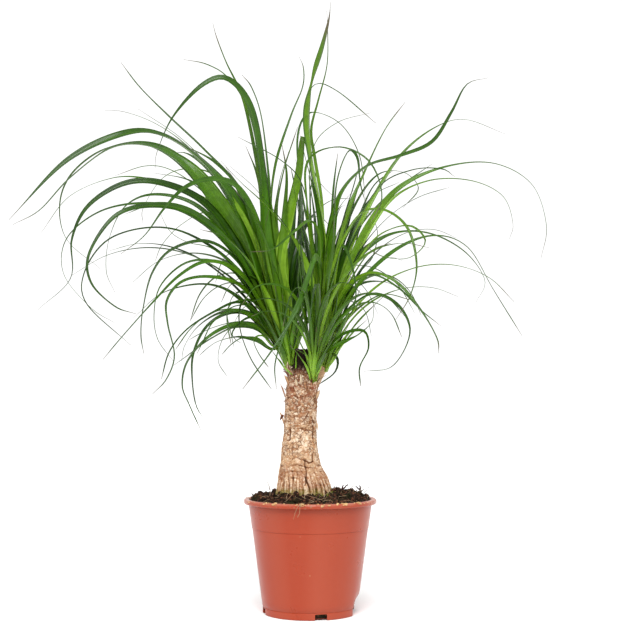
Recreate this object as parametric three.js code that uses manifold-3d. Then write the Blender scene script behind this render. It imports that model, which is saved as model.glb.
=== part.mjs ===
// A potted ponytail palm: a cut-back, swollen trunk that carries three leafy shoots of long strap leaves,
// standing in potting soil in a plastic nursery pot with a rolled rim.
// Millimetres, +Z up. The origin is the middle of the pot's underside, and the front is towards -Y.
import * as THREE from "three";
import { mergeVertices } from "three/addons/utils/BufferGeometryUtils.js";
import Module from "manifold-3d";

const wasm = await Module();
wasm.setup();

const GAP = 0.3; // clearance between neighbouring pieces

// The pot: a tapered plastic wall with a foot, a fine ledge near the top and a rolled rim.
const POT = {
  height: 115,
  rimRadius: 66.5,
  rimDepth: 5.7,
  neckRadius: 61.4,
  ledgeHeight: 85.3,
  ledgeStep: 0.35,
  footHeight: 7.6,
  footRadius: 47.3,
  footStep: 0.4,
  wall: 1.4,
  floor: 1.6,
  sides: 36,
  footEdge: 1.2, // how far the foot's wall leans out from the underside
  stepRise: 0.4, // height of the small steps at the foot and at the ledge
  rimRound: [1.3, 2], // the rim's lower edge, inwards and upwards
  rimCrown: [0.9, 2.6], // where the rim's upper edge starts to turn, and where it is level
};
const NOTCH = { count: 4, width: 11, height: 5.5, inner: 40.8, outer: 58.8, firstAngle: -77 };
// A shallow recess pressed into the right-hand side of the foot. It is full over a share of its half spread
// and up to a height, and fades out above that. Nothing nearer to the axis than the inner radius is pressed.
const RECESS = { angle: -5, halfSpread: 24, flatShare: 0.45, depth: 5.2, top: 22, full: 7, innerRadius: 20 };
const WALL_STEPS = [14, 22]; // heights at which the recessed wall is stationed

// The trunk: centre line and radius at heights above the ground, as [height, centre x, radius].
const TRUNK_RINGS = [
  [88, -7, 20],
  [98, -7, 26.5],
  [110, -6.5, 28.5],
  [119.5, -6, 27],
  [126, -6.6, 25.8],
  [133, -7.6, 24.2],
  [145.5, -9.8, 21],
  [159.5, -10.5, 18.6],
  [173.5, -10.4, 17.2],
  [190, -9.8, 16.5],
  [203, -9.2, 16.3],
  [215.5, -8.7, 16.4],
  [224, -8, 16.8],
  [232, -6.8, 16.4],
  [240, -5.6, 14.4],
  [250, -4.8, 12.6],
  [262, -4.6, 11.6],
];
const TRUNK = {
  sides: 24,
  flutes: 9,
  fluteDepth: 1.6,
  fluteTop: 150,
  fluteFade: 28,
  fluteStart: 0.7, // turn of the first flute, in radians
  scarDepth: 0.55,
  scarPitch: 9.5,
  scarWave: 1.1, // how far a scar wanders up and down, in radians of its pitch
  scarTwist: 0.05,
  buriedRows: 3, // rows of the foot, in the soil, that have no scars
};
// Short woody stubs under the shoots, each from a point inside the trunk to the shoot's seat.
const STUB = { lowRadius: 11, topRadius: 8.6, sides: 14 };

// Each shoot's seat, and the way that its growing point leans.
const SHOOTS = {
  left: { seat: [-20, 1, 243], from: [-10, 1, 222], lean: [-0.22, 0.02, 1] },
  right: { seat: [14, 3, 243], from: [-1, 2, 222], lean: [0.3, 0.03, 1] },
  front: { seat: [3, -16, 231], from: [-3, -6, 214], lean: [0.1, -0.3, 1] },
};
// A shoot's middle, which its leaves grow from, as a peg that widens to its waist and then narrows.
const CORE = {
  height: 38,
  low: 7.4,
  middle: 8,
  top: 5,
  sides: 10,
  frontShare: 0.62, // size of the front shoot's middle beside the others
  sunk: 0.05,
  waist: 0.45,
  lap: 0.01,
  leafStart: 1.8, // distance of a leaf's start from the middle line
  lowest: 5, // height of the lowest leaf's start, and depth of the highest one's below the top
  highest: 8,
  order: 7, // the step in which leaves take turns in starting higher up
};

// The soil: heights of its top at the wall and beside the trunk, and the size of its lumps.
const SOIL = {
  edgeHeight: 109,
  middleHeight: 114,
  lump: 1.5,
  rings: 4,
  floorGap: 0.4,
  wallTop: 105, // height up to which it lies against the wall
};

// A blade is three-sided: two edges and a keel under the middle.
const BLADE = {
  step: 54,
  fewest: 4,
  most: 8,
  keel: 1.25,
  tipKeel: 0.7,
  tipWidth: 1.1,
  base: 0.34,
  swell: 0.24,
  shoulder: 0.38,
  taper: 1.1,
  pinch: 0.65, // how much a fold narrows a blade, and the share of its length that it takes
  pinchSpread: 0.045,
};
// How a blade turns its face to the front: the turn near its base and over its arch, and where that changes.
const FACE = { low: 74, arch: 38, from: 0.3, to: 0.62 };
// Leaves of different shoots keep clear of each other by this much over their faces and beside their edges.
// A leaf that doesn't is bent back and forward by more and more, and left out after so many tries.
const CLEARANCE = { face: 2.6, edge: 1.4, far: 12.6, between: 4, lap: 0.75, nudge: 9, tries: 16 };
const LEAN_POWER = 1.3; // a leaf leans back or forward more and more towards its tip
// Where the front view of the leaves below was taken from: straight in front, this far and this high.
const EYE = { away: 1250, high: 227 };

// Leaves that make the outline seen from the front. Each is its greatest width, how far its tip leans back
// (or forward, if negative), and the x and z of points along it in the front view, from low to tip. Some also
// have a form of their own: how fast they taper, and the share of their length at which a fold pinches them.
const broad = { taper: 0.85 };
const upright = { taper: 0.6, pinch: 0.77 };
const SEEN_LEAVES = {
  left: [
    [18, -110, [-52, 362, -78, 418, -112, 458, -150, 482, -190, 483, -248, 455, -306, 394]],
    [15, 40, [-58, 352, -88, 404, -122, 448, -160, 470, -202, 469, -244, 438, -275, 404, -302, 389]],
    [11, 130, [-65, 357, -98, 414, -135, 457, -172, 473, -212, 466, -244, 440, -255, 408, -247, 373, -213, 344]],
    [10, -150, [-40, 322, -52, 387, -72, 426, -98, 436, -126, 428, -148, 406, -168, 378, -192, 359]],
    [11, -60, [-52, 318, -74, 368, -108, 412, -152, 432, -190, 431, -226, 408, -242, 374, -243, 334, -276, 302]],
    [6, 150, [-50, 314, -78, 362, -122, 402, -170, 411, -215, 402, -248, 374, -250, 338, -222, 304, -198, 289]],
    [9, -140, [-50, 318, -78, 366, -120, 401, -160, 409, -198, 398, -224, 360, -222, 330, -198, 306, -176, 298]],
    [6, 70, [-54, 317, -80, 370, -116, 409, -158, 420, -188, 408, -204, 376, -207, 342, -198, 320]],
    [4, 170, [-55, 340, -92, 402, -126, 424, -160, 435, -200, 437, -245, 418, -274, 380]],
    [3.5, 160, [-52, 345, -84, 396, -112, 425, -142, 445, -168, 449, -199, 439]],
    [3.5, 140, [-46, 350, -70, 410, -98, 440, -128, 446, -152, 435, -170, 406, -170, 390]],
    [4, -20, [-48, 302, -80, 350, -125, 380, -165, 386, -206, 373, -229, 340, -226, 308, -181, 266]],
    [7, -110, [-48, 305, -72, 350, -104, 372, -140, 364, -160, 340, -169, 304, -171, 277, -168, 258]],
    [4.5, 110, [-52, 330, -78, 378, -104, 401, -130, 390, -150, 369, -158, 350]],
    [6, -90, [-46, 300, -68, 338, -98, 364, -124, 371, -142, 382, -153, 402]],
    [9, -170, [-46, 302, -64, 332, -84, 348, -108, 351, -134, 336, -160, 309, -190, 275, -209, 252]],
    [5.5, -20, [-58, 316, -80, 344, -105, 353, -130, 348, -152, 326, -158, 298, -154, 272, -138, 250]],
    [8, -120, [-48, 300, -72, 328, -103, 336, -130, 331, -145, 312, -144, 288, -137, 256, -145, 232, -159, 217]],
    [4.5, 90, [-44, 284, -66, 309, -90, 325, -118, 328, -152, 318, -179, 294]],
    [6.5, -130, [-43, 282, -56, 301, -74, 310, -96, 301, -124, 283, -142, 260, -150, 232]],
    [4.5, 30, [-46, 288, -68, 301, -92, 299, -114, 285, -127, 266, -130, 250]],
    [7, -60, [-43, 284, -62, 299, -84, 300, -99, 289, -108, 271, -114, 258]],
    [4.5, -35, [-44, 278, -64, 298, -86, 298, -106, 284, -118, 258, -119, 232, -115, 206, -106, 191]],
    [3.5, -110, [-42, 275, -58, 287, -80, 287, -104, 274, -124, 250, -129, 226, -122, 207, -110, 181]],
    [5, 60, [-40, 274, -58, 285, -80, 284, -104, 271, -124, 256, -138, 246]],
    [3.5, 45, [-38, 262, -54, 271, -74, 275, -92, 271, -102, 265, -112, 256]],
    [4, -50, [-38, 262, -52, 273, -68, 274, -80, 267, -89, 257]],
    [3.5, 75, [-40, 276, -58, 288, -78, 285, -90, 270, -93, 250, -84, 235]],
    [4, -60, [-36, 264, -48, 276, -57, 272, -52, 258, -42, 244]],
    [3, -85, [-42, 288, -58, 311, -70, 308, -71, 284, -60, 253, -39, 222]],
    [3.5, 55, [-44, 292, -62, 318, -77, 318, -84, 300, -81, 282, -77, 264]],
    [4, -30, [-42, 312, -54, 334, -68, 336, -82, 326, -90, 310]],
    [6, 90, [-34, 310, -50, 370, -76, 430, -108, 466, -144, 500, -174, 530, -194, 556]],
    [6.5, -70, [-40, 322, -62, 386, -96, 438, -130, 474, -160, 494, -190, 505, -210, 506]],
    [3, -20, [-42, 330, -66, 392, -98, 442, -132, 478, -176, 508]],
    [4.5, 60, [-28, 325, -40, 405, -52, 460, -64, 508, -84, 540, -106, 554, -130, 559]],
    [14, -30, [-32, 300, -43, 372, -48, 440, -60, 508, -84, 539, -110, 533, -140, 500, -156, 464, -158, 447]],
    [8, 20, [-32, 310, -45, 385, -54, 450, -68, 516, -86, 556, -96, 582, -100, 597]],
    [4, 85, [-27, 310, -38, 385, -43, 445, -50, 500, -60, 530, -70, 543]],
    [14, 15, [-24, 300, -31, 350, -22, 396, -12, 440, -7, 480, 0, 455, 10, 432, 30, 412]],
    [5, 60, [-24, 320, -34, 392, -28, 440, -13, 489]],
    [5, 95, [-28, 315, -39, 395, -36, 448, -20, 500, -8, 530, -7, 550, -12, 563]],
    [9, 40, [-26, 310, -36, 380, -32, 430, -22, 464]],
    [14, 75, [-42, 312, -60, 366, -86, 408, -122, 434, -160, 442]],
    [15, -5, [-34, 310, -48, 372, -68, 420, -96, 452, -128, 470]],
    [9, -45, [-30, 300, -42, 345, -46, 380, -42, 404]],
    [13, 10, [-26, 300, -28, 350, -26, 400, -24, 440, -29, 472]],
    [13, 35, [-28, 300, -37, 350, -45, 400, -54, 440, -66, 470]],
    [13, 60, [-22, 300, -20, 350, -16, 400, -12, 445]],
    [14, -20, [-34, 300, -46, 345, -56, 385, -68, 420, -86, 448]],
    [13, 60, [-34, 300, -52, 350, -72, 400, -98, 440, -126, 462, -146, 460]],
    [11, -50, [-28, 290, -34, 330, -44, 368, -58, 400, -76, 424]],
    [9, -75, [-30, 280, -44, 318, -62, 352, -86, 376, -112, 384]],
    [2.5, -40, [-40, 274, -54, 287, -70, 290, -86, 288, -104, 282, -122, 272]],
    [4, -70, [-38, 280, -50, 294, -60, 295, -69, 291, -76, 284, -79, 277, -74, 271, -70, 269]],
    [3, -25, [-42, 284, -52, 303, -64, 307, -76, 306, -90, 299]],
    [2.5, -60, [-42, 290, -58, 305, -70, 312, -82, 306, -84, 290, -80, 268]],
    [3, 40, [-38, 266, -50, 280, -66, 287, -84, 284, -100, 276]],
    [3.5, -20, [-38, 272, -52, 290, -74, 302, -98, 300, -120, 284, -136, 262]],
    [12, 45, [-20, 290, -14, 330, -9, 370, -6, 412]],
    [11, 85, [-22, 290, -17, 330, -11, 375, -10, 420, -15, 456]],
  ],
  right: [
    [15, 5, [14, 315, 14, 366, 8, 408, 0, 456, -4, 502, 3, 542, 12, 572, 19, 600, 21, 619], upright],
    [5, 12, [13, 330, 13, 400, 5, 455, 1, 486, 8, 516, 17, 552, 18, 585, 17, 610]],
    [13, -50, [17, 312, 20, 370, 30, 420, 56, 449, 92, 460, 124, 474, 144, 504, 160, 533, 182, 540], broad],
    [5, 110, [22, 305, 40, 364, 64, 416, 92, 460, 126, 488, 158, 497, 199, 482]],
    [6, 60, [20, 320, 36, 395, 54, 440, 76, 486, 97, 515]],
    [11, 35, [20, 292, 36, 340, 60, 390, 92, 428, 140, 449, 188, 452, 226, 430, 240, 388, 234, 354]],
    [4.5, 150, [24, 302, 48, 360, 80, 412, 120, 434, 164, 434, 196, 418, 206, 390, 202, 374]],
    [6, -60, [22, 312, 42, 378, 70, 428, 104, 445, 134, 446, 147, 438]],
    [3.5, 60, [22, 315, 44, 376, 78, 418, 124, 451]],
    [3.5, 130, [22, 322, 40, 396, 66, 438, 94, 443, 110, 426, 94, 406]],
    [8, -75, [20, 290, 40, 338, 68, 377, 100, 388, 117, 372, 100, 355, 72, 357, 50, 372]],
    [6.5, 100, [20, 292, 42, 348, 78, 378, 118, 381, 156, 362, 177, 332, 168, 310]],
    [6.5, -20, [20, 278, 46, 325, 86, 363, 126, 378, 160, 366, 186, 322, 214, 276]],
    [5.5, -80, [20, 285, 34, 322, 60, 340, 88, 330, 112, 302, 128, 274, 130, 258]],
    [5.5, -5, [18, 280, 36, 322, 62, 338, 90, 324, 112, 302, 132, 286]],
    [5.5, 100, [16, 272, 28, 308, 50, 328, 72, 331, 88, 326]],
    [4.5, 45, [16, 260, 30, 286, 54, 308, 76, 318, 102, 312]],
    [4, 30, [16, 272, 28, 306, 42, 311, 56, 300, 62, 275]],
    [3.5, -15, [17, 250, 23, 258, 28, 250, 24, 238, 9, 227]],
    [3, 90, [20, 320, 36, 375, 56, 402, 68, 384, 64, 358, 54, 344]],
    [11, 5, [14, 300, 22, 352, 34, 396, 44, 428, 49, 447]],
    [10, 70, [18, 292, 32, 345, 48, 392, 64, 428, 84, 444]],
    [10, 25, [24, 285, 34, 325, 44, 362, 52, 392]],
    [11, 35, [16, 300, 20, 350, 22, 400, 24, 430, 28, 462], broad],
    [13, -20, [12, 300, 12, 345, 8, 395, 2, 430, -6, 462, -11, 484]],
    [11, 50, [18, 300, 28, 350, 38, 390, 46, 420, 58, 452], broad],
    [11, -30, [18, 290, 24, 330, 32, 372, 44, 408, 58, 430]],
    [12, 65, [12, 300, 8, 350, 4, 400, -2, 440]],
    [10, 80, [20, 300, 32, 350, 48, 395, 66, 420, 90, 432]],
    [9, 10, [18, 270, 30, 306, 44, 338, 62, 362, 82, 370]],
    [12, 100, [9, 300, 1, 340, -6, 380, -14, 420, -20, 448]],
    [10, 75, [11, 290, 6, 330, 2, 370, 0, 410, 2, 442]],
    [5, -30, [10, 310, 2, 380, -8, 430, -30, 455, -74, 479]],
    [4, 115, [8, 340, -8, 420, -13, 478, 0, 504, 30, 493, 50, 460, 56, 415]],
  ],
  front: [
    [7, -40, [8, 320, 10, 390, -1, 450, -7, 502, 4, 533, 28, 526, 67, 493]],
    [3.5, -80, [4, 340, -1, 420, 4, 470, 28, 494, 62, 504]],
    [6.5, -65, [6, 330, -4, 410, -2, 455, 28, 469, 60, 454, 73, 418, 60, 388]],
    [8.5, -95, [14, 305, 22, 370, 26, 430, 38, 464, 48, 458, 51, 432, 56, 412]],
    [8, -140, [12, 295, 24, 350, 46, 396, 72, 405, 98, 387, 108, 350, 102, 318, 86, 291]],
    [6.5, -120, [14, 262, 30, 294, 60, 318, 88, 308, 101, 280, 84, 246, 54, 240]],
    [6.5, -60, [10, 256, 26, 266, 46, 276, 62, 290, 64, 308]],
    [5.5, -95, [12, 256, 32, 277, 54, 281, 59, 264, 50, 244, 51, 225]],
    [7, -120, [14, 300, 26, 348, 33, 368, 43, 345, 46, 312, 34, 284]],
    [10, -135, [9, 300, 12, 340, 6, 356, -2, 336, -14, 302, -38, 262, -68, 222]],
    [5, -110, [5, 300, 2, 324, -8, 316, -22, 288, -35, 250, -34, 222]],
    [6, -75, [-2, 275, -8, 304, -28, 326, -54, 326, -70, 306]],
    [8.5, -65, [4, 290, 2, 330, -16, 374, -44, 408, -70, 432, -91, 454]],
    [5, -35, [2, 330, -20, 380, -54, 424, -82, 449]],
    [9, -105, [8, 300, 12, 362, 2, 393, -16, 382, -38, 364, -60, 361]],
    [11, -38, [9, 280, 13, 330, 17, 372, 28, 404, 44, 424]],
    [9, -20, [0, 290, -2, 340, -9, 385, -17, 430]],
    [7, -90, [1, 270, -7, 300, -12, 330, -10, 352]],
    [10, -60, [8, 275, 16, 320, 22, 358, 24, 392]],
    [10, -85, [3, 285, 2, 325, 0, 362, -8, 392]],
    [9, -55, [8, 280, 15, 330, 26, 375, 40, 406]],
    [9, -40, [-2, 280, -6, 315, -11, 350, -13, 388]],
  ],
};

// Leaves by rule, which fill the crown all round. Angles are in degrees, 90 is straight back, -90 straight front.
const FILL = { parts: 7, bendPower: 1.35, headingSpread: 16, drift: 50, highestStart: 0.7 };
const FILL_LEAVES = {
  left: {
    count: 18, seed: 41,
    from: 42, to: 165, rise: [60, 86],
    bend: [70, 150],
    length: [190, 320], width: [5, 10],
  },
  right: {
    count: 14, seed: 87,
    from: 8, to: 124, rise: [60, 86],
    bend: [70, 150],
    length: [150, 260], width: [5, 10],
  },
  front: {
    count: 9, seed: 29,
    from: -128, to: -44, rise: [60, 82],
    bend: [80, 150],
    length: [120, 220], width: [5, 9],
  },
};

// A repeatable draw between 0 and 1.
function draws(seed) {
  let state = seed;
  return () => {
    state = (state * 16807) % 2147483647;
    return state / 2147483647;
  };
}

const radians = (degrees) => (degrees * Math.PI) / 180;
const mix = (low, high, share) => low + (high - low) * share;
const vector = (list) => new THREE.Vector3(...list);

function smooth(low, high, value) {
  const share = Math.min(1, Math.max(0, (value - low) / (high - low)));
  return share * share * (3 - 2 * share);
}

// A closed solid from a three.js geometry. Its faces are turned outwards if they face in.
function solidOf(geometry) {
  const plain = geometry.clone();
  plain.deleteAttribute("normal");
  plain.deleteAttribute("uv");
  const merged = mergeVertices(plain, 1e-4);
  const corners = merged.attributes.position.array;
  const faces = Array.from(merged.index.array);
  const whole = [];
  for (let i = 0; i < faces.length; i += 3) {
    const [a, b, c] = faces.slice(i, i + 3);
    if (a !== b && b !== c && a !== c) whole.push(a, b, c);
  }
  const make = (list) =>
    new wasm.Manifold(
      new wasm.Mesh({ numProp: 3, vertProperties: corners, triVerts: new Uint32Array(list) }),
    );
  const solid = make(whole);
  return solid.volume() >= 0 ? solid : make(whole.reverse());
}

// A solid skinned over loops of points, all with the same count, closed by a fan at each end. The loops run
// anticlockwise seen from the last one. If asked, each bent panel is split so that it bulges out of the solid.
function loft(loops, bulging = false) {
  const count = loops[0].length;
  const points = loops.flat();
  const faces = [];
  for (let k = 0; k + 1 < loops.length; k += 1) {
    for (let i = 0; i < count; i += 1) {
      const a = k * count + i;
      const b = k * count + ((i + 1) % count);
      const [side, rise, other] = [b, b + count, a + count].map((end) => points[end].clone().sub(points[a]));
      const sunk = side.cross(rise).dot(other) > 0;
      if (bulging && sunk) faces.push(a, b, a + count, b, b + count, a + count);
      else faces.push(a, b, b + count, a, b + count, a + count);
    }
  }
  for (const end of [0, loops.length - 1]) {
    const first = end * count;
    const order = (a, b, c) => (end === 0 ? faces.push(a, c, b) : faces.push(a, b, c));
    if (count === 3) {
      order(first, first + 1, first + 2);
      continue;
    }
    const middle = loops[end].reduce((sum, p) => sum.add(p), new THREE.Vector3());
    points.push(middle.divideScalar(count));
    for (let i = 0; i < count; i += 1) {
      order(points.length - 1, first + i, first + ((i + 1) % count));
    }
  }
  const geometry = new THREE.BufferGeometry().setFromPoints(points);
  geometry.setIndex(faces);
  return solidOf(geometry);
}

function meshOf(solid, name, material) {
  const made = solid.getMesh();
  const corners = new Float32Array(made.numVert * 3);
  for (let i = 0; i < made.numVert; i += 1) {
    corners.set(made.vertProperties.subarray(i * made.numProp, i * made.numProp + 3), i * 3);
  }
  const geometry = new THREE.BufferGeometry();
  geometry.setAttribute("position", new THREE.BufferAttribute(corners, 3));
  geometry.setIndex(new THREE.BufferAttribute(made.triVerts, 1));
  geometry.computeVertexNormals();
  const mesh = new THREE.Mesh(geometry, material);
  mesh.name = name;
  return mesh;
}

// How far the foot's recess pushes the wall in, at an angle in radians and a height.
function recessAt(angle, height) {
  const turn = angle - radians(RECESS.angle);
  const away = Math.abs(Math.atan2(Math.sin(turn), Math.cos(turn)));
  const across = 1 - smooth(RECESS.flatShare, 1, away / radians(RECESS.halfSpread));
  return RECESS.depth * across * (1 - smooth(RECESS.full, RECESS.top, height));
}

// Pushes in the points of a turned shape that lie in the recess.
function pressRecess(geometry) {
  const spots = geometry.attributes.position;
  for (let i = 0; i < spots.count; i += 1) {
    const [x, y, z] = [spots.getX(i), spots.getY(i), spots.getZ(i)];
    const radius = Math.hypot(x, y);
    if (radius < RECESS.innerRadius) continue;
    const pressed = (radius - recessAt(Math.atan2(y, x), z)) / radius;
    spots.setXY(i, x * pressed, y * pressed);
  }
  return geometry;
}

function turned(profile, sides) {
  const points = profile.map(([radius, height]) => new THREE.Vector2(radius, height));
  return new THREE.LatheGeometry(points, sides).rotateX(Math.PI / 2);
}

// Radius of the pot's outer wall, under the ledge, at a height.
function wallRadius(height) {
  const low = POT.footRadius + POT.footStep;
  return mix(low, POT.neckRadius, (height - POT.footHeight) / (POT.height - POT.rimDepth - POT.footHeight));
}

function potSolid() {
  const { height, rimRadius, rimDepth, wall, floor, footHeight, footRadius, ledgeHeight, ledgeStep } = POT;
  const { footEdge, stepRise, rimRound, rimCrown } = POT;
  const rimLow = height - rimDepth;
  const profile = [
    [0, 0],
    [footRadius - footEdge, 0],
    [footRadius, footHeight - stepRise],
    [wallRadius(footHeight), footHeight],
    ...WALL_STEPS.map((step) => [wallRadius(step), step]),
    [wallRadius(ledgeHeight), ledgeHeight - stepRise],
    [wallRadius(ledgeHeight) + ledgeStep, ledgeHeight],
    [POT.neckRadius + ledgeStep, rimLow],
    [rimRadius - rimRound[0], rimLow],
    [rimRadius, rimLow + rimRound[1]],
    [rimRadius - rimCrown[0], height - rimCrown[0]],
    [rimRadius - rimCrown[1], height],
    [POT.neckRadius, height],
    [POT.neckRadius - wall, rimLow - wall],
    ...WALL_STEPS.toReversed().map((step) => [wallRadius(step) - wall, step]),
    [wallRadius(footHeight) - wall, footHeight],
    [footRadius - wall, floor],
    [0, floor],
  ];
  let pot = solidOf(pressRecess(turned(profile, POT.sides)));
  for (let k = 0; k < NOTCH.count; k += 1) {
    const angle = radians(NOTCH.firstAngle + (360 / NOTCH.count) * k);
    const notch = new THREE.BoxGeometry(NOTCH.outer - NOTCH.inner, NOTCH.width, NOTCH.height * 2);
    notch.translate((NOTCH.outer + NOTCH.inner) / 2, 0, 0).rotateZ(angle);
    pot = pot.subtract(solidOf(notch));
  }
  return pot;
}

// Height of the soil's lumpy top at a place.
function soilTop(x, y) {
  const share = Math.min(1, Math.hypot(x - TRUNK_RINGS[3][1], y) / (POT.neckRadius - POT.wall));
  const mound = mix(SOIL.middleHeight, SOIL.edgeHeight, share * share);
  const lumps = Math.sin(x * 0.41 + 1.3) * Math.cos(y * 0.37 - 0.6) + 0.7 * Math.sin(x * 0.19 - y * 0.33 + 2.1);
  return mound + SOIL.lump * lumps;
}

function soilSolid(hole) {
  const inside = (height) => wallRadius(height) - POT.wall - GAP;
  const bottom = POT.floor + SOIL.floorGap;
  const floorRadius = POT.footRadius - POT.wall - GAP;
  const loopAt = (radius, heightAt) =>
    Array.from({ length: POT.sides }, (_, i) => {
      const angle = (i / POT.sides) * 2 * Math.PI;
      const [x, y] = [radius * Math.cos(angle), radius * Math.sin(angle)];
      return new THREE.Vector3(x, y, heightAt(x, y));
    });
  const level = (height) => () => height;
  const loops = [
    loopAt(floorRadius, level(bottom)),
    loopAt(inside(POT.footHeight) - POT.stepRise, level(POT.footHeight)),
    ...WALL_STEPS.map((step) => loopAt(inside(step), level(step))),
    loopAt(inside(SOIL.wallTop) - GAP / 2, level(SOIL.wallTop)),
  ];
  for (let k = SOIL.rings; k > 0; k -= 1) {
    loops.push(loopAt((k / SOIL.rings) * inside(SOIL.wallTop - 2), soilTop));
  }
  for (const p of loops.flat()) {
    const radius = Math.hypot(p.x, p.y);
    const pressed = (radius - recessAt(Math.atan2(p.y, p.x), p.z)) / radius;
    p.set(p.x * pressed, p.y * pressed, p.z);
  }
  return loft(loops).subtract(hole);
}

// The trunk's skin, grown outwards by a clearance. Flutes swell its foot, and leaf scars ring it above.
function trunkSolid(clearance) {
  const scars = (height, angle) => {
    const wander = TRUNK.scarWave * Math.sin(angle * 2 + height * TRUNK.scarTwist);
    return Math.sin((height / TRUNK.scarPitch) * 2 * Math.PI + wander);
  };
  const loops = TRUNK_RINGS.map(([height, centre, radius], row) =>
    Array.from({ length: TRUNK.sides }, (_, i) => {
      const angle = (i / TRUNK.sides) * 2 * Math.PI;
      const flute = Math.abs(Math.sin((angle * TRUNK.flutes) / 2 + TRUNK.fluteStart)) * 2 - 1;
      const fade = 1 - smooth(TRUNK.fluteTop - TRUNK.fluteFade, TRUNK.fluteTop, height);
      const swell = TRUNK.fluteDepth * flute * fade;
      const scar = row < TRUNK.buriedRows ? 0 : TRUNK.scarDepth * scars(height, angle);
      const out = radius + swell + scar + clearance;
      return new THREE.Vector3(centre + out * Math.cos(angle), out * Math.sin(angle), height);
    }),
  );
  for (const p of loops[0]) p.z -= clearance;
  for (const p of loops.at(-1)) p.z += clearance;
  let trunk = loft(loops);
  for (const { from, seat } of Object.values(SHOOTS)) {
    trunk = trunk.add(taper(vector(from), vector(seat), STUB.lowRadius, STUB.topRadius, clearance, STUB.sides));
  }
  return trunk;
}

// A round tapered peg from one point to another.
function taper(low, high, lowRadius, highRadius, clearance, sides) {
  const along = high.clone().sub(low);
  const peg = new THREE.CylinderGeometry(
    highRadius + clearance,
    lowRadius + clearance,
    along.length() + clearance * 2,
    sides,
  );
  peg.applyQuaternion(new THREE.Quaternion().setFromUnitVectors(new THREE.Vector3(0, 1, 0), along.normalize()));
  const middle = low.clone().add(high).multiplyScalar(0.5);
  return solidOf(peg.translate(middle.x, middle.y, middle.z));
}

// Share of a blade's greatest width at a share of its length.
function breadth(share, { taper = BLADE.taper, pinch }) {
  const sheath = mix(BLADE.base, 1, smooth(0, BLADE.swell, share));
  const tail = Math.min(1, Math.pow((1 - share) / (1 - BLADE.shoulder), taper));
  const pinched = pinch ? 1 - BLADE.pinch * Math.exp(-(((share - pinch) / BLADE.pinchSpread) ** 2)) : 1;
  return sheath * tail * pinched;
}

// How many straight stretches a blade is built of.
function stretches(leaf) {
  const length = new THREE.CatmullRomCurve3(leaf.knots, false, "catmullrom", 0.5).getLength();
  return Math.min(BLADE.most, Math.max(BLADE.fewest, Math.round(length / BLADE.step)));
}

// A blade's stations along its run, each with its middle, the way across, the upper side and half its width.
function stations(leaf, count) {
  const curve = new THREE.CatmullRomCurve3(leaf.knots, false, "catmullrom", 0.5);
  const middles = curve.getSpacedPoints(count);
  const heading = leaf.knots.at(-1).clone().sub(leaf.knots[0]).setZ(0).normalize();
  const level = new THREE.Vector3(heading.y, -heading.x, 0);
  return middles.map((middle, k) => {
    const share = k / count;
    const along = middles[Math.min(k + 1, count)].clone().sub(middles[Math.max(k - 1, 0)]).normalize();
    const flat = level.clone().addScaledVector(along, -level.dot(along)).normalize();
    const top = flat.clone().cross(along);
    const turn = radians(leaf.turn * mix(FACE.low, FACE.arch, smooth(FACE.from, FACE.to, share)));
    return {
      middle,
      across: flat.clone().multiplyScalar(Math.cos(turn)).addScaledVector(top, Math.sin(turn)),
      top: top.clone().multiplyScalar(Math.cos(turn)).addScaledVector(flat, -Math.sin(turn)),
      half: Math.max(BLADE.tipWidth, leaf.width * breadth(share, leaf)) / 2,
      share,
    };
  });
}

// The start of a leaf inside its shoot's core. Outer leaves start lower.
function leafStart(shoot, heading, rank) {
  const seat = vector(SHOOTS[shoot].seat);
  const lean = vector(SHOOTS[shoot].lean).normalize();
  const start = seat.addScaledVector(lean, mix(CORE.lowest, CORE.height - CORE.highest, rank));
  return start.add(new THREE.Vector3(Math.cos(heading), Math.sin(heading), 0).multiplyScalar(CORE.leafStart));
}

// A leaf drawn from its front view. Points further back are moved along the line of sight.
function seenLeaf(shoot, [width, depth, line, form], rank) {
  const count = line.length / 2;
  const spots = [];
  for (let i = 0; i < count; i += 1) {
    const back = depth * Math.pow((i + 1) / count, LEAN_POWER) + SHOOTS[shoot].seat[1];
    const scale = (EYE.away + back) / EYE.away;
    spots.push(new THREE.Vector3(line[2 * i] * scale, back, EYE.high + (line[2 * i + 1] - EYE.high) * scale));
  }
  const seat = SHOOTS[shoot].seat;
  const heading = Math.atan2(spots[0].y - seat[1], spots[0].x - seat[0]);
  const knots = [leafStart(shoot, heading, rank), ...spots];
  return { shoot, width, knots, turn: spots.at(-1).x < seat[0] ? 1 : -1, ...form };
}

// A leaf by rule: it rises from the shoot, then bends over and falls.
function fillLeaf(shoot, rule, share, draw) {
  const between = ([low, high]) => mix(low, high, draw());
  const heading = radians(mix(rule.from, rule.to, share) + (draw() - 0.5) * FILL.headingSpread);
  const rise = radians(between(rule.rise));
  const bend = radians(between(rule.bend));
  const length = between(rule.length);
  const width = between(rule.width);
  const drift = radians((draw() - 0.5) * FILL.drift);
  const turn = draw() - 0.5;
  const knots = [leafStart(shoot, heading, draw() * FILL.highestStart)];
  const stride = length / FILL.parts;
  for (let i = 1; i <= FILL.parts; i += 1) {
    const along = (i - 0.5) / FILL.parts;
    const slope = rise - bend * Math.pow(along, FILL.bendPower);
    const way = heading + drift * along;
    const last = knots.at(-1);
    knots.push(
      new THREE.Vector3(
        last.x + stride * Math.cos(slope) * Math.cos(way),
        last.y + stride * Math.cos(slope) * Math.sin(way),
        last.z + stride * Math.sin(slope),
      ),
    );
  }
  return { shoot, width, knots, turn };
}

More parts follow.
